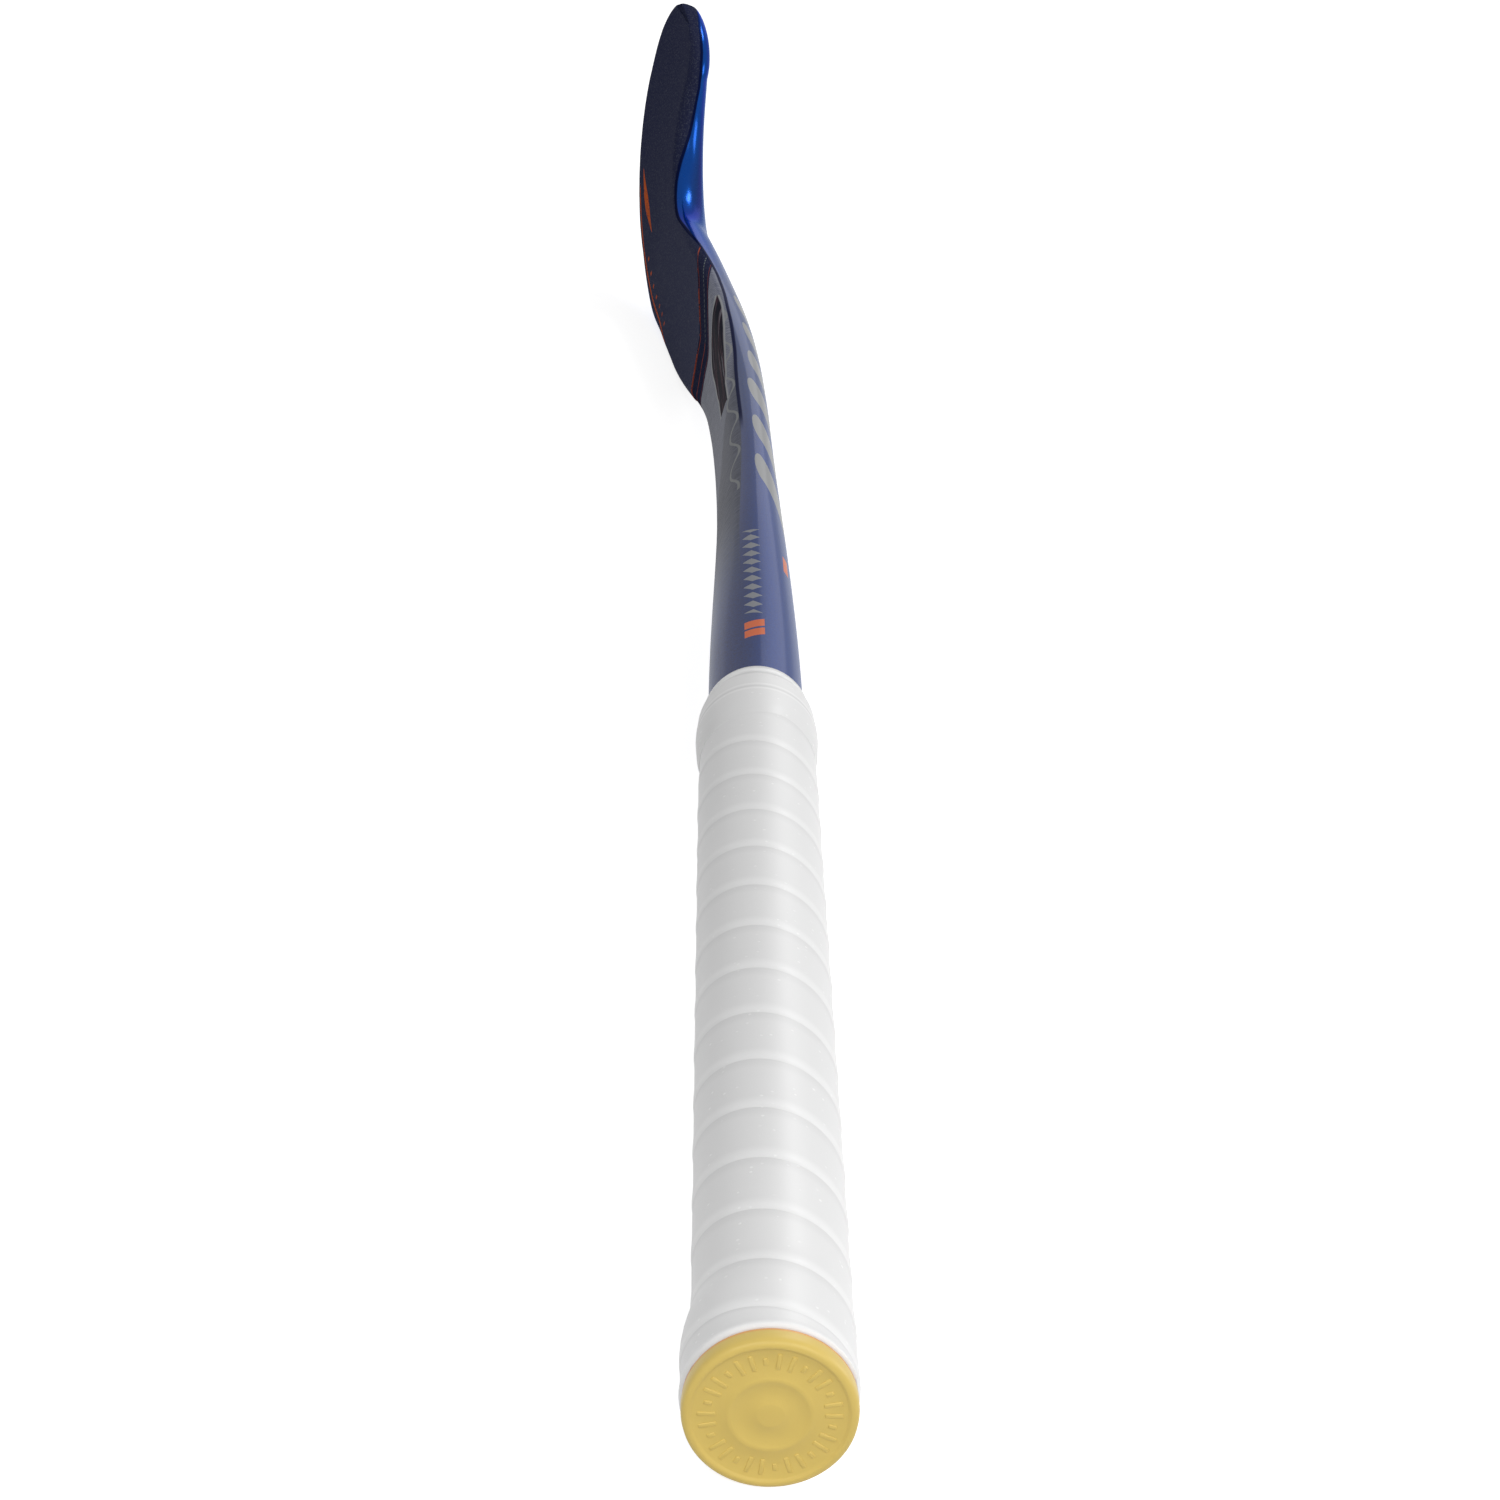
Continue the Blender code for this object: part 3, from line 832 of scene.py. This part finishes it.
def grey_wave(paint, along, girth, edge_at):
    """Thin wavy line along the face's inner edge."""
    swing = paint.calc("ABSOLUTE", paint.line(paint.repeat(along, 1 / wave_period), 2.0, -1.0))
    swing = paint.times(paint.rise(swing, 0.05, 0.95), wave_swing)
    off = paint.minus(paint.plus(girth, swing), edge_at)
    return paint.times(paint.stripe(off, *wave_line_at), paint.stripe(along, *wave_span))


def orange_blocks(paint, along, girth):
    """Parted block above the band and a dash beyond it."""
    lean = paint.line(girth, block_lean, along)
    block = paint.times(paint.stripe(girth, *block_at), paint.stripe(lean, *block_span))
    block = paint.times(block, paint.without(paint.stripe(lean, *block_gap)))
    dash = paint.times(paint.stripe(girth, *dash_at), paint.stripe(along, *dash_span))
    return paint.most(block, dash)


def make_shell_lacquer():
    """Metallic blue lacquer with the face's matt coat, woven silver, patch, lines and marks."""
    finish, paint, shader = new_finish(
        "shell_lacquer", 0.5, Coat_IOR=1.45, Coat_Roughness=0.14, Specular_IOR_Level=0.0,
        Specular_Tint=(0.20, 0.38, 0.82, 1.0),
    )
    along, girth = wrap_position(paint)
    round_off = paint.calc("ABSOLUTE", girth)
    edge_at = paint.curve(along, 340.0, 976.0, 40.0, face_edge)
    past_edge = paint.minus(round_off, edge_at)
    face = paint.fall(past_edge, -0.25, 0.25)
    on_face = paint.times(face, paint.rise(along, *face_paint_rise))
    on_head = paint.rise(along, *head_rise)
    navy = paint.use(navy_face, {"Along": along, "Girth": girth, "Navy Colour": face_navy})

    flake = paint.node("TexVoronoi", {"Vector": paint.where(), "Scale": 2600.0}).outputs["Color"]
    glint = paint.node("SeparateColor", {0: flake}).outputs[0]
    # Blue darker near the face and lighter round the back: partly a fade in the lacquer, partly
    # painted shade and a painted highlight across the shaft
    royal = paint.blend(paint.rise(round_off, 13.0, 26.0), fade_and_shade_blue, royal_blue)
    # The shaft's blue turns greyer from 540 to 660 mm from the butt on towards the head
    greyer_share = paint.times(paint.rise(along, *greyer_rise), 0.75)
    royal = paint.blend(greyer_share, royal, greyer_blue)
    blue = paint.blend(on_head, royal, gloss_blue)
    # Painted dark reflection: the head's outer rounding, which faces away, is darkened to a greyish
    # navy
    painted_dark_reflection = paint.times(on_head, paint.rise(past_edge, 4.0, 13.0), 0.8)
    blue = paint.blend(painted_dark_reflection, blue, dark_reflection_blue)
    blue = paint.blend(paint.times(glint, 0.22), blue, flake_blue)

    weave = paint.node("CombineXYZ", {0: along, 1: girth}).outputs[0]
    across_thread = paint.calc("SINE", paint.times(along, 3.4))
    along_thread = paint.calc("SINE", paint.times(girth, 3.4))
    drawn = paint.node("Mapping", {0: weave, "Scale": (0.5, 0.03, 1.0)}).outputs[0]
    brushed = paint.noise(drawn, 6.0, 5.0)
    tone = paint.line(paint.times(across_thread, along_thread), 0.12, brushed)
    silver = paint.blend(paint.rise(tone, 0.30, 0.75), shade_silver, weave_silver)
    reach = paint.curve(along, 500.0, 760.0, 60.0, weave_reach)
    woven = paint.fall(paint.minus(paint.plus(girth, 20.0), reach), -1.5, 2.5)
    plain_grey = paint.blend(paint.rise(brushed, 0.35, 0.65), bare_lavender, shade_silver)
    face_paint = paint.blend(woven, plain_grey, silver)

    patch_half = paint.curve(along, 636.0, 730.0, 40.0, patch_half_width)
    patch_off = paint.minus(girth, paint.curve(along, 636.0, 730.0, 40.0, patch_middle))
    inside = paint.stripe(along, *patch_span)
    patch = paint.times(paint.stripe(patch_off, 0.0, patch_half, 0.3), inside)
    rim = paint.times(paint.stripe(patch_off, 0.0, paint.plus(patch_half, patch_rim), 0.25), inside)
    spot = paint.node("CombineXYZ", {0: paint.times(along, 0.02), 1: patch_off}).outputs[0]
    streaks = paint.noise(spot, 1.1, 3.0)
    dark = paint.blend(paint.rise(streaks, 0.48, 0.58), patch_dark, patch_brown)
    dark = paint.blend(paint.rise(streaks, 0.61, 0.66), dark, patch_light)
    wave = grey_wave(paint, along, girth, edge_at)
    face_paint = paint.blend(paint.times(wave, 0.75), face_paint, wave_grey)
    face_paint = paint.blend(paint.times(rim, 0.8), face_paint, rim_grey)
    face_paint = paint.blend(patch, face_paint, dark)
    coat = paint.rise(navy["Past End"], -31.9, -31.1)
    face_paint = paint.blend(coat, face_paint, navy["Colour"])

    bars = grey_bars(paint, along, girth)
    studs = grey_studs(paint, along, girth)
    blocks = orange_blocks(paint, along, girth)
    dark_line = paint.stripe(past_edge, *dark_line_at)
    dark_line = paint.times(dark_line, paint.stripe(along, *dark_line_span))
    colour = paint.blend(on_face, paint.blend(bars, blue, mark_grey), face_paint)
    colour = paint.blend(dark_line, colour, line_blue)
    colour = paint.blend(paint.times(studs, 0.8), colour, mark_grey)
    colour = paint.blend(blocks, colour, mark_orange)
    paint.feed(shader["Base Color"], colour)

    scratch = paint.use(hairlines, {"Scale": 60.0, "Amount": 0.10})[0]
    gloss = paint.plus(scratch, paint.line(on_head, -0.12, 0.34))
    paint.feed(shader["Roughness"], paint.node("Mix", {0: on_face, 2: gloss, 3: 0.65}).outputs[0])
    plain = paint.most(on_face, bars, studs, blocks, dark_line)
    flaked = paint.line(on_head, 0.48, 0.22)
    paint.feed(shader["Metallic"], paint.times(paint.without(plain), flaked))
    matt = paint.times(face, coat)
    bare = paint.most(matt, paint.times(dark_line, 0.8), paint.times(patch, 0.7))
    clear = paint.line(on_head, -0.28, paint.line(on_face, -0.26, 0.42))
    clear = paint.most(clear, 0.05)
    paint.feed(shader["Coat Weight"], paint.times(paint.without(bare), clear))
    height = paint.times(navy["Grain"], matt)
    paint.feed(shader["Normal"], paint.grain_normal(height, 0.05 * MM, 0.5))
    return finish


def make_face_coat_finish():
    """Matt navy coat of the playing face with its lines."""
    finish, paint, shader = new_finish("face_coat_navy", 0.62, Specular_IOR_Level=0.01)
    along, girth = wrap_position(paint)
    navy = paint.use(navy_face, {"Along": along, "Girth": girth, "Navy Colour": face_navy})
    paint.feed(shader["Base Color"], navy["Colour"])
    scuffed = paint.use(hairlines, {"Scale": 80.0, "Amount": 0.10})[0]
    paint.feed(shader["Roughness"], paint.minus(0.64, scuffed))
    paint.feed(shader["Normal"], paint.grain_normal(navy["Grain"], 0.05 * MM, 0.5))
    return finish


def make_soft_white(name, shading):
    """Soft white grip material with fine pores, and the light and shade that shading adds."""
    finish, paint, shader = new_finish(name, 0.46)
    made = paint.use(pores, {"Scale": 400.0, "Pore Size": 0.22, "Grain": 0.22})
    tone = paint.use(uneven_tone, {"Colour": grip_white, "Scale": 14.0, "Amount": 0.03})[0]
    tone = paint.blend(paint.times(made["Mask"], 0.8), tone, (0.95, 0.95, 0.95))
    for mask, share, grey in shading(paint):
        tone = paint.blend(paint.times(mask, share), tone, (grey, grey, grey))
    paint.feed(shader["Base Color"], tone)
    paint.feed(shader["Roughness"], paint.line(made["Mask"], 0.2, 0.42))
    paint.feed(shader["Normal"], paint.grain_normal(made["Height"], 0.08 * MM, 0.6))
    return finish


def strip_shading(paint):
    """Masks, shares and greys of the painted highlight on the strip's crest and the painted shade
    at its low edge.
    """
    share = paint.split(paint.node("UVMap").outputs[0])[1]
    return [(paint.stripe(share, 0.13, 0.08, 0.08), 0.40, 0.93),
            (paint.rise(share, 0.80, 0.99), 0.22, 0.50)]


def band_shading(paint):
    """Masks, shares and greys of the painted light and shade on the band's rolls and folds."""
    along = paint.line(paint.split(paint.where())[1], 1 / MM, middle_from_butt / MM)
    return [(paint.stripe(along, centre, half, 0.5 * half), share, grey)
            for centre, half, share, grey in band_folds]


def make_cap_finish():
    """Satin moulded yellow with an orange tinge at the outer edge."""
    finish, paint, shader = new_finish("cap_yellow_satin", 0.42)
    tone = paint.use(uneven_tone, {"Colour": cap_yellow, "Scale": 90.0, "Amount": 0.04})[0]
    split = paint.split(paint.node("UVMap").outputs[0])
    side = paint.rise(split[0], 3.7 * MM, 4.6 * MM)
    outer = paint.times(side, paint.rise(split[1], 17.0 * MM, 17.2 * MM), 0.7)
    paint.feed(shader["Base Color"], paint.blend(outer, tone, cap_orange))
    grain = paint.noise(paint.where(), 1800.0, 3.0)
    paint.feed(shader["Roughness"], paint.line(grain, 0.12, 0.38))
    paint.feed(shader["Normal"], paint.grain_normal(grain, 0.03 * MM, 0.6))
    return finish


def make_hidden_finish(name, colour, roughness, cell_scale, cell_depth):
    """Finish of a piece inside the stick: uneven tone and fine cells."""
    finish, paint, shader = new_finish(name, roughness)
    tone = paint.use(uneven_tone, {"Colour": colour, "Scale": 60.0, "Amount": 0.08})[0]
    paint.feed(shader["Base Color"], tone)
    cells = paint.use(pores, {"Scale": cell_scale, "Pore Size": 0.5, "Grain": 0.4})[0]
    paint.feed(shader["Normal"], paint.grain_normal(cells, cell_depth, 0.8))
    return finish


# Pieces of the stick

body_points = 112
body_rows = 300
tip_rows = 26
lining_rows = 90
quarter_points = body_points // 4 - 1
back_middle = (body_points + quarter_points) // 2


def body_station(row, rows, end_rows):
    """Distance along the stick of a row, closer together in the rounded tip of the toe."""
    start = cap_thickness + seat_gap
    if row <= rows:
        return mix(start, toe_start, row / rows)
    turned = math.pi / 2 * toe_last_row * (row - rows) / end_rows
    return toe_start + toe_tip_length * math.sin(turned)


def girth_ring(s, inset):
    """Section from the middle of the back round to it again, each point with its girth."""
    ring = [(across, up + inset) for across, up in section(s, body_points, inset)]
    ring = ring[back_middle:] + ring[:back_middle + 1]
    reach = [0.0]
    for (a, b), (c, d) in zip(ring, ring[1:]):
        reach.append(reach[-1] + math.hypot(c - a, d - b))
    face_middle = reach[body_points - back_middle + quarter_points // 2]
    return [(across, up, face_middle - at) for (across, up), at in zip(ring, reach)]


def skin_point(ring, s, girth, lift):
    """Point of the stick's skin at a girth, lifted off it."""
    for (a, b, near), (c, d, far) in zip(ring, ring[1:]):
        if far <= girth:
            break
    run = math.hypot(c - a, d - b) or 1.0
    t = min(max((near - girth) / max(near - far, 1e-9), 0.0), 1.0)
    return place(s, mix(a, c, t) + (d - b) / run * lift, mix(b, d, t) - (c - a) / run * lift)


def table_value(table, at):
    """Smooth reading of a table of pairs, in the pairs' own unit."""
    for (a, low), (b, high) in zip(table, table[1:]):
        if at <= b:
            break
    return mix(low, high, min(max((at - a) / (b - a), 0.0), 1.0))


def make_stick_body():
    """Hollow lacquered shell of the whole stick."""
    def shell(rows, end_rows, inset):
        rings = []
        for row in range(rows + end_rows + 1):
            s = body_station(row, rows, end_rows)
            rings.append([
                (place(s, across, up), (s, girth)) for across, up, girth in girth_ring(s, inset)
            ])
        sheet = grid_sheet(body_points, rows + end_rows, lambda column, row: rings[row][column])
        merge(sheet)
        toe_rim = [e for e in open_edges(sheet) if e.verts[0].co.y > stick_length / 2]
        bmesh.ops.holes_fill(sheet, edges=toe_rim)
        return sheet

    mesh = shell(body_rows, tip_rows, skin_trim)
    add_sheet(mesh, shell(lining_rows, 0, shell_wall))
    join_rims(mesh)
    add_piece("stick_body", mesh, make_shell_lacquer(), "shaft_shell", 50)


def make_face_coat():
    """Coat over the playing face and its eased edges, thinning out to nothing at its rim."""
    across_steps, along_steps = 60, 150
    end = toe_end - film_toe_clearance
    full_lift = seat_gap + film_thickness + coat_lift
    rings = {}

    def half_girth(s):
        return max(table_value(face_edge, s / MM) * MM - coat_side_room, coat_least_half)

    def sheet(under):
        def point_at(column, row):
            side = 1 - 2 * column / across_steps
            share = 1 - (1 - row / along_steps) ** coat_row_power
            s = mix(hook_start - film_outer_lead, end, share)
            for _ in range(3):
                start = table_value(coat_end, side * half_girth(s) / MM) * MM + coat_end_room
                s = mix(start, end, share)
            half = half_girth(s)
            if s not in rings:
                rings[s] = girth_ring(s, skin_trim)
            to_edge = min((1 - abs(side)) * half, (s - start) * coat_end_slope, end - s)
            lift = mix(-coat_rim_sink, full_lift, smooth(0.0, coat_rim, to_edge))
            if under:
                lift = -coat_underside
            return skin_point(rings[s], s, side * half, lift), (s, side * half)

        return grid_sheet(across_steps, along_steps, point_at)

    mesh = sheet(False)
    add_sheet(mesh, sheet(True))
    join_rims(mesh)
    add_piece("face_coat", mesh, make_face_coat_finish(), "playing_face_film")


def collar_swell(y):
    """1 over the collar's first half, then down to 0 at its thin end."""
    end = cap_thickness + seat_gap + collar_length
    return 1 - smooth(end - collar_length / 2, end, y)


def strip_base(y):
    """Radius that the strip lies on: the under-tape, or the butt collar near the cap."""
    collar = handle_radius + seat_gap + mix(collar_lip, collar_thickness, collar_swell(y))
    return max(handle_radius + seat_gap + tape_thickness, collar) + seat_gap


def strip_edge(turn):
    """Distance from the butt of the strip's raised edge after this many turns."""
    squeeze = strip_squeeze * (1 - math.exp(-turn / strip_squeeze_turns))
    return strip_first_edge + strip_pitch * turn - squeeze


def strip_top(share):
    """Height of the strip across its width: a soft crest near the butt side, then thinner."""
    climb = smooth(-0.4 * strip_crest_share, strip_crest_share, share)
    fall = mix(strip_crest, strip_thin_edge, smooth(strip_crest_share, 0.5, share))
    return fall * mix(0.5, 1.0, climb)


def make_grip_wrap():
    """The strip wound up the handle, each turn's raised edge lying over the one before."""
    top_steps, turn_steps = 22, 72
    turn_search = 1 / 24
    start = cap_thickness + seat_gap
    begin = 0.0
    while strip_edge(begin + 1) > start + strip_tongue:
        begin -= turn_search
    finish_turn = begin
    while strip_edge(finish_turn) < strip_end - strip_tongue:
        finish_turn += turn_search
    rows = round((finish_turn - begin) * turn_steps)
    top = [(i / top_steps) ** 1.35 for i in range(top_steps + 1)]
    columns = len(top) + 2

    def point_at(column, row):
        turn = begin + (finish_turn - begin) * row / rows
        low = min(max(strip_edge(turn), start), strip_end - strip_tongue / 2)
        far = strip_edge(turn + 1) + strip_tuck
        high = min(max(far, start + strip_tongue / 2), strip_end)
        angle = strip_first_angle + 2 * math.pi * turn
        hand = strip_wobble * (math.sin(2.3 * turn) * math.sin(7.1 * turn + 1.0) - 1)
        share, height = (1.0 if column == len(top) + 1 else 0.0), 0.0
        if 0 < column <= len(top):
            share = top[column - 1]
            height = strip_top(share) + hand * math.sin(math.pi * share)
        y = mix(low, high, share)
        under_band = smooth(sleeve_start - strip_thin_lead, sleeve_start, (low + high) / 2)
        radius = strip_base(y) + height * mix(1.0, strip_thin_share, under_band)
        x = -cap_offset * collar_swell(y) + radius * math.cos(angle)
        return Vector((x, y, radius * math.sin(angle))), (turn, share)

    mesh = grid_sheet(columns, rows, point_at)
    merge(mesh)
    close_and_turn_out(mesh)
    finish = make_soft_white("grip_white_soft", strip_shading)
    add_piece("grip_wrap", mesh, finish, "grip_strip", 60)


def sleeve_outer(y):
    """Barrel shape, full at the bulge and drawn in to a thin lip on the bare shaft."""
    if y > sleeve_bulge_at:
        t = (sleeve_end - y) / (sleeve_end - sleeve_bulge_at)
        neck = handle_radius + seat_gap + sleeve_lip
        return mix(neck, sleeve_bulge_radius, math.sin(math.pi / 2 * t) ** sleeve_top_power)
    t = (sleeve_bulge_at - y) / (sleeve_bulge_at - sleeve_start)
    return sleeve_bulge_radius - sleeve_draw_in * math.sin(math.pi / 2 * t) ** sleeve_low_power


def make_grip_band():
    """Stretch band with a thin rim and soft rolls at its top."""
    outer, inner = [], []
    rows = 60
    for i in range(rows + 1):
        t = i / rows
        y = mix(sleeve_end, sleeve_start, t)
        wall = mix(sleeve_lip, sleeve_wall, math.sin(math.pi * t) ** 0.5)
        roll = 0.0
        for at, wide, high in band_rolls:
            roll += high * MM * math.exp(-((y - at * MM) / (wide * MM)) ** 2)
        roll -= sleeve_low_draw * (1 - smooth(sleeve_start, sleeve_start + sleeve_low_ramp, y))
        tuck = sleeve_tuck * (1 - smooth(sleeve_start, sleeve_start + sleeve_tuck_ramp, y))
        outer.append((sleeve_outer(y) + roll - sleeve_trim, y))
        inner.append((sleeve_outer(y) + min(roll, 0.0) - wall - tuck, y))
    profile = outer + inner[::-1] + outer[:1]
    mesh = spin_profile(profile, 120)
    for vert in mesh.verts:
        aside = 1 - vert.co.z / max(math.hypot(vert.co.x, vert.co.z), handle_radius)
        pull = min(aside, 1.0) * smooth(sleeve_bulge_at, sleeve_end, vert.co.y)
        vert.co.y -= sleeve_side_draw * pull
    finish = make_soft_white("band_white_soft", band_shading)
    add_piece("grip_band", mesh, finish, "grip_sleeve", 60)


def make_end_cap():
    """Moulded cap: domed rim, sunk ring of short soft ribs, raised centre button, and its stem."""
    stem = bore_radius - seat_gap
    floor = 0.72 * cap_recess
    recess_radius = cap_radius - 0.62 * cap_rim_width
    profile = [
        (0.0, 0.12 * MM), (2.4 * MM, 0.14 * MM), (3.1 * MM, 0.22 * MM), (3.7 * MM, floor),
        (7.4 * MM, floor), (7.8 * MM, 0.6 * floor), (8.4 * MM, 0.4 * floor),
        (9.0 * MM, 0.6 * floor), (9.4 * MM, floor), (recess_radius - 0.3 * MM, floor),
        (recess_radius, 0.7 * floor), (recess_radius + 0.3 * MM, 0.15 * floor),
        (recess_radius + 0.6 * MM, 0.0), (recess_radius + 1.1 * MM, 0.05 * MM),
        (cap_radius - 0.6 * cap_bevel, 0.24 * MM), (cap_radius - 0.22 * cap_bevel, 0.62 * MM),
        (cap_radius, 1.7 * MM), (cap_radius, 3.4 * MM), (cap_radius - 0.12 * MM, 4.2 * MM),
        (cap_radius - 0.12 * MM, cap_thickness - 0.3 * MM), (cap_radius - 0.4 * MM, cap_thickness),
        (stem + cap_offset, cap_thickness),
    ]
    mesh = spin_profile(profile, 144, -cap_offset)
    rim = open_edges(mesh)
    for radius, y in (
        (stem, cap_thickness),
        (stem, cap_thickness + stem_length - bore_chamfer),
        (stem - bore_chamfer, cap_thickness + stem_length),
    ):
        grown = bmesh.ops.extrude_edge_only(mesh, edges=rim)["geom"]
        for vert in grown:
            if isinstance(vert, bmesh.types.BMVert):
                around = Vector((vert.co.x, 0.0, vert.co.z)).normalized()
                vert.co = around * radius + Vector((0.0, y, 0.0))
        rim = [e for e in grown if isinstance(e, bmesh.types.BMEdge)]
    close_and_turn_out(mesh)
    rib_centre = (9.8 * MM + recess_radius) / 2
    from_centre = Matrix.Translation((rib_centre, floor + rib_rise, 0))
    for i in range(rib_count):
        turn = Matrix.Rotation(2 * math.pi * i / rib_count, 4, "Y")
        spot = Matrix.Translation((-cap_offset, 0, 0)) @ turn @ from_centre
        size = Matrix.Diagonal((rib_lengths[i % 3], rib_width, rib_height, 1.0))
        made = bmesh.ops.create_cube(mesh, size=1.0, matrix=spot @ size)
        sides = {e for v in made["verts"] for e in v.link_edges}
        bmesh.ops.bevel(
            mesh, geom=list(sides), offset=rib_bevel, segments=3, profile=0.5,
            affect="EDGES", material=-1, clamp_overlap=True,
        )
    wrap = mesh.loops.layers.uv.verify()
    for face in mesh.faces:
        for loop in face.loops:
            point = loop.vert.co
            loop[wrap].uv = (point.y, math.hypot(point.x + cap_offset, point.z))
    add_piece("end_cap", mesh, make_cap_finish(), "butt_cap", 35)


def finish_hidden_parts():
    """Give the pieces inside the stick their own finishes."""
    hidden = {
        "head_core": ("core_foam_cells", (0.720, 0.620, 0.380), 0.9, 700.0, 0.3 * MM),
        "inner_bladder": ("bladder_film", (0.750, 0.760, 0.780), 0.45, 300.0, 0.05 * MM),
        "handle_plug": ("plug_foam_cells", (0.800, 0.780, 0.700), 0.85, 900.0, 0.2 * MM),
        "butt_collar": ("collar_foam_cells", (0.500, 0.500, 0.520), 0.9, 1100.0, 0.15 * MM),
        "grip_under_tape": ("under_tape_paper", (0.850, 0.840, 0.800), 0.6, 1500.0, 0.04 * MM),
        "grip_end_tape": ("end_tape_cloth", (0.800, 0.800, 0.780), 0.6, 1500.0, 0.04 * MM),
    }
    for node, facts in hidden.items():
        slots = frame["nodes"][node].data.materials
        slots.clear()
        slots.append(make_hidden_finish(*facts))


# Floor, lights and camera

def looked_at(paint):
    """1 for what the camera sees, straight, in a reflection or through glass."""
    seen = paint.node("LightPath").outputs
    return paint.most(seen["Is Camera Ray"], seen["Is Transmission Ray"], seen["Is Glossy Ray"])


def make_floor():
    mesh = bmesh.new()
    bmesh.ops.create_grid(mesh, x_segments=1, y_segments=1, size=20.0)
    floor = new_object("floor", mesh_data("floor", mesh))
    finish, paint, shader = new_finish(
        "floor_paper", 0.95, Base_Color=(0.55, 0.55, 0.55, 1.0), Specular_IOR_Level=0.0,
        Emission_Color=(1.0, 1.0, 1.0, 1.0),
    )
    paint.feed(shader["Emission Strength"], paint.times(looked_at(paint), floor_glow))
    floor.data.materials.append(finish)


def make_world():
    world = bpy.data.worlds.new("studio_air")
    bpy.context.scene.world = world
    world.use_nodes = True
    paint = Paint(world.node_tree)
    air = world.node_tree.nodes["Background"].inputs
    paint.feed(air["Color"], (1.0, 1.0, 1.0))
    strength = paint.node("Mix", {0: looked_at(paint), 2: air_light, 3: 1.0}).outputs[0]
    paint.feed(air["Strength"], strength)


def add_softbox(name, spot, aim, size, power):
    """Square soft light at spot, turned towards aim."""
    lamp = bpy.data.lights.new(name, "AREA")
    lamp.shape = "RECTANGLE"
    lamp.size, lamp.size_y = size
    lamp.energy = power
    holder = new_object(name, lamp)
    holder.location = spot
    holder.rotation_euler = (Vector(aim) - Vector(spot)).to_track_quat("-Z", "Y").to_euler()


def make_camera():
    """Camera at the photograph's viewpoint, close behind and above the butt."""
    right = Vector((0.97136, -0.00921, 0.23742))
    upward = Vector((-0.21261, 0.41233, 0.88588))
    look = Vector((0.10605, 0.91099, -0.39857))
    eye = Vector((-0.0985, -0.5054, 0.3622))
    turn = Matrix((right, upward, -look)).transposed().to_4x4()
    data = bpy.data.cameras.new("viewpoint")
    data.sensor_width = 36.0
    data.lens = 73.87
    data.clip_start = 0.01
    holder = new_object("viewpoint", data)
    holder.matrix_world = REST @ Matrix.Translation(eye) @ turn
    bpy.context.scene.camera = holder


make_stick_body()
make_face_coat()
make_grip_wrap()
make_grip_band()
make_end_cap()
finish_hidden_parts()
make_floor()
make_world()
for lamp_facts in softboxes:
    add_softbox(*lamp_facts)
make_camera()

bpy.context.scene.view_settings.view_transform = "Standard"
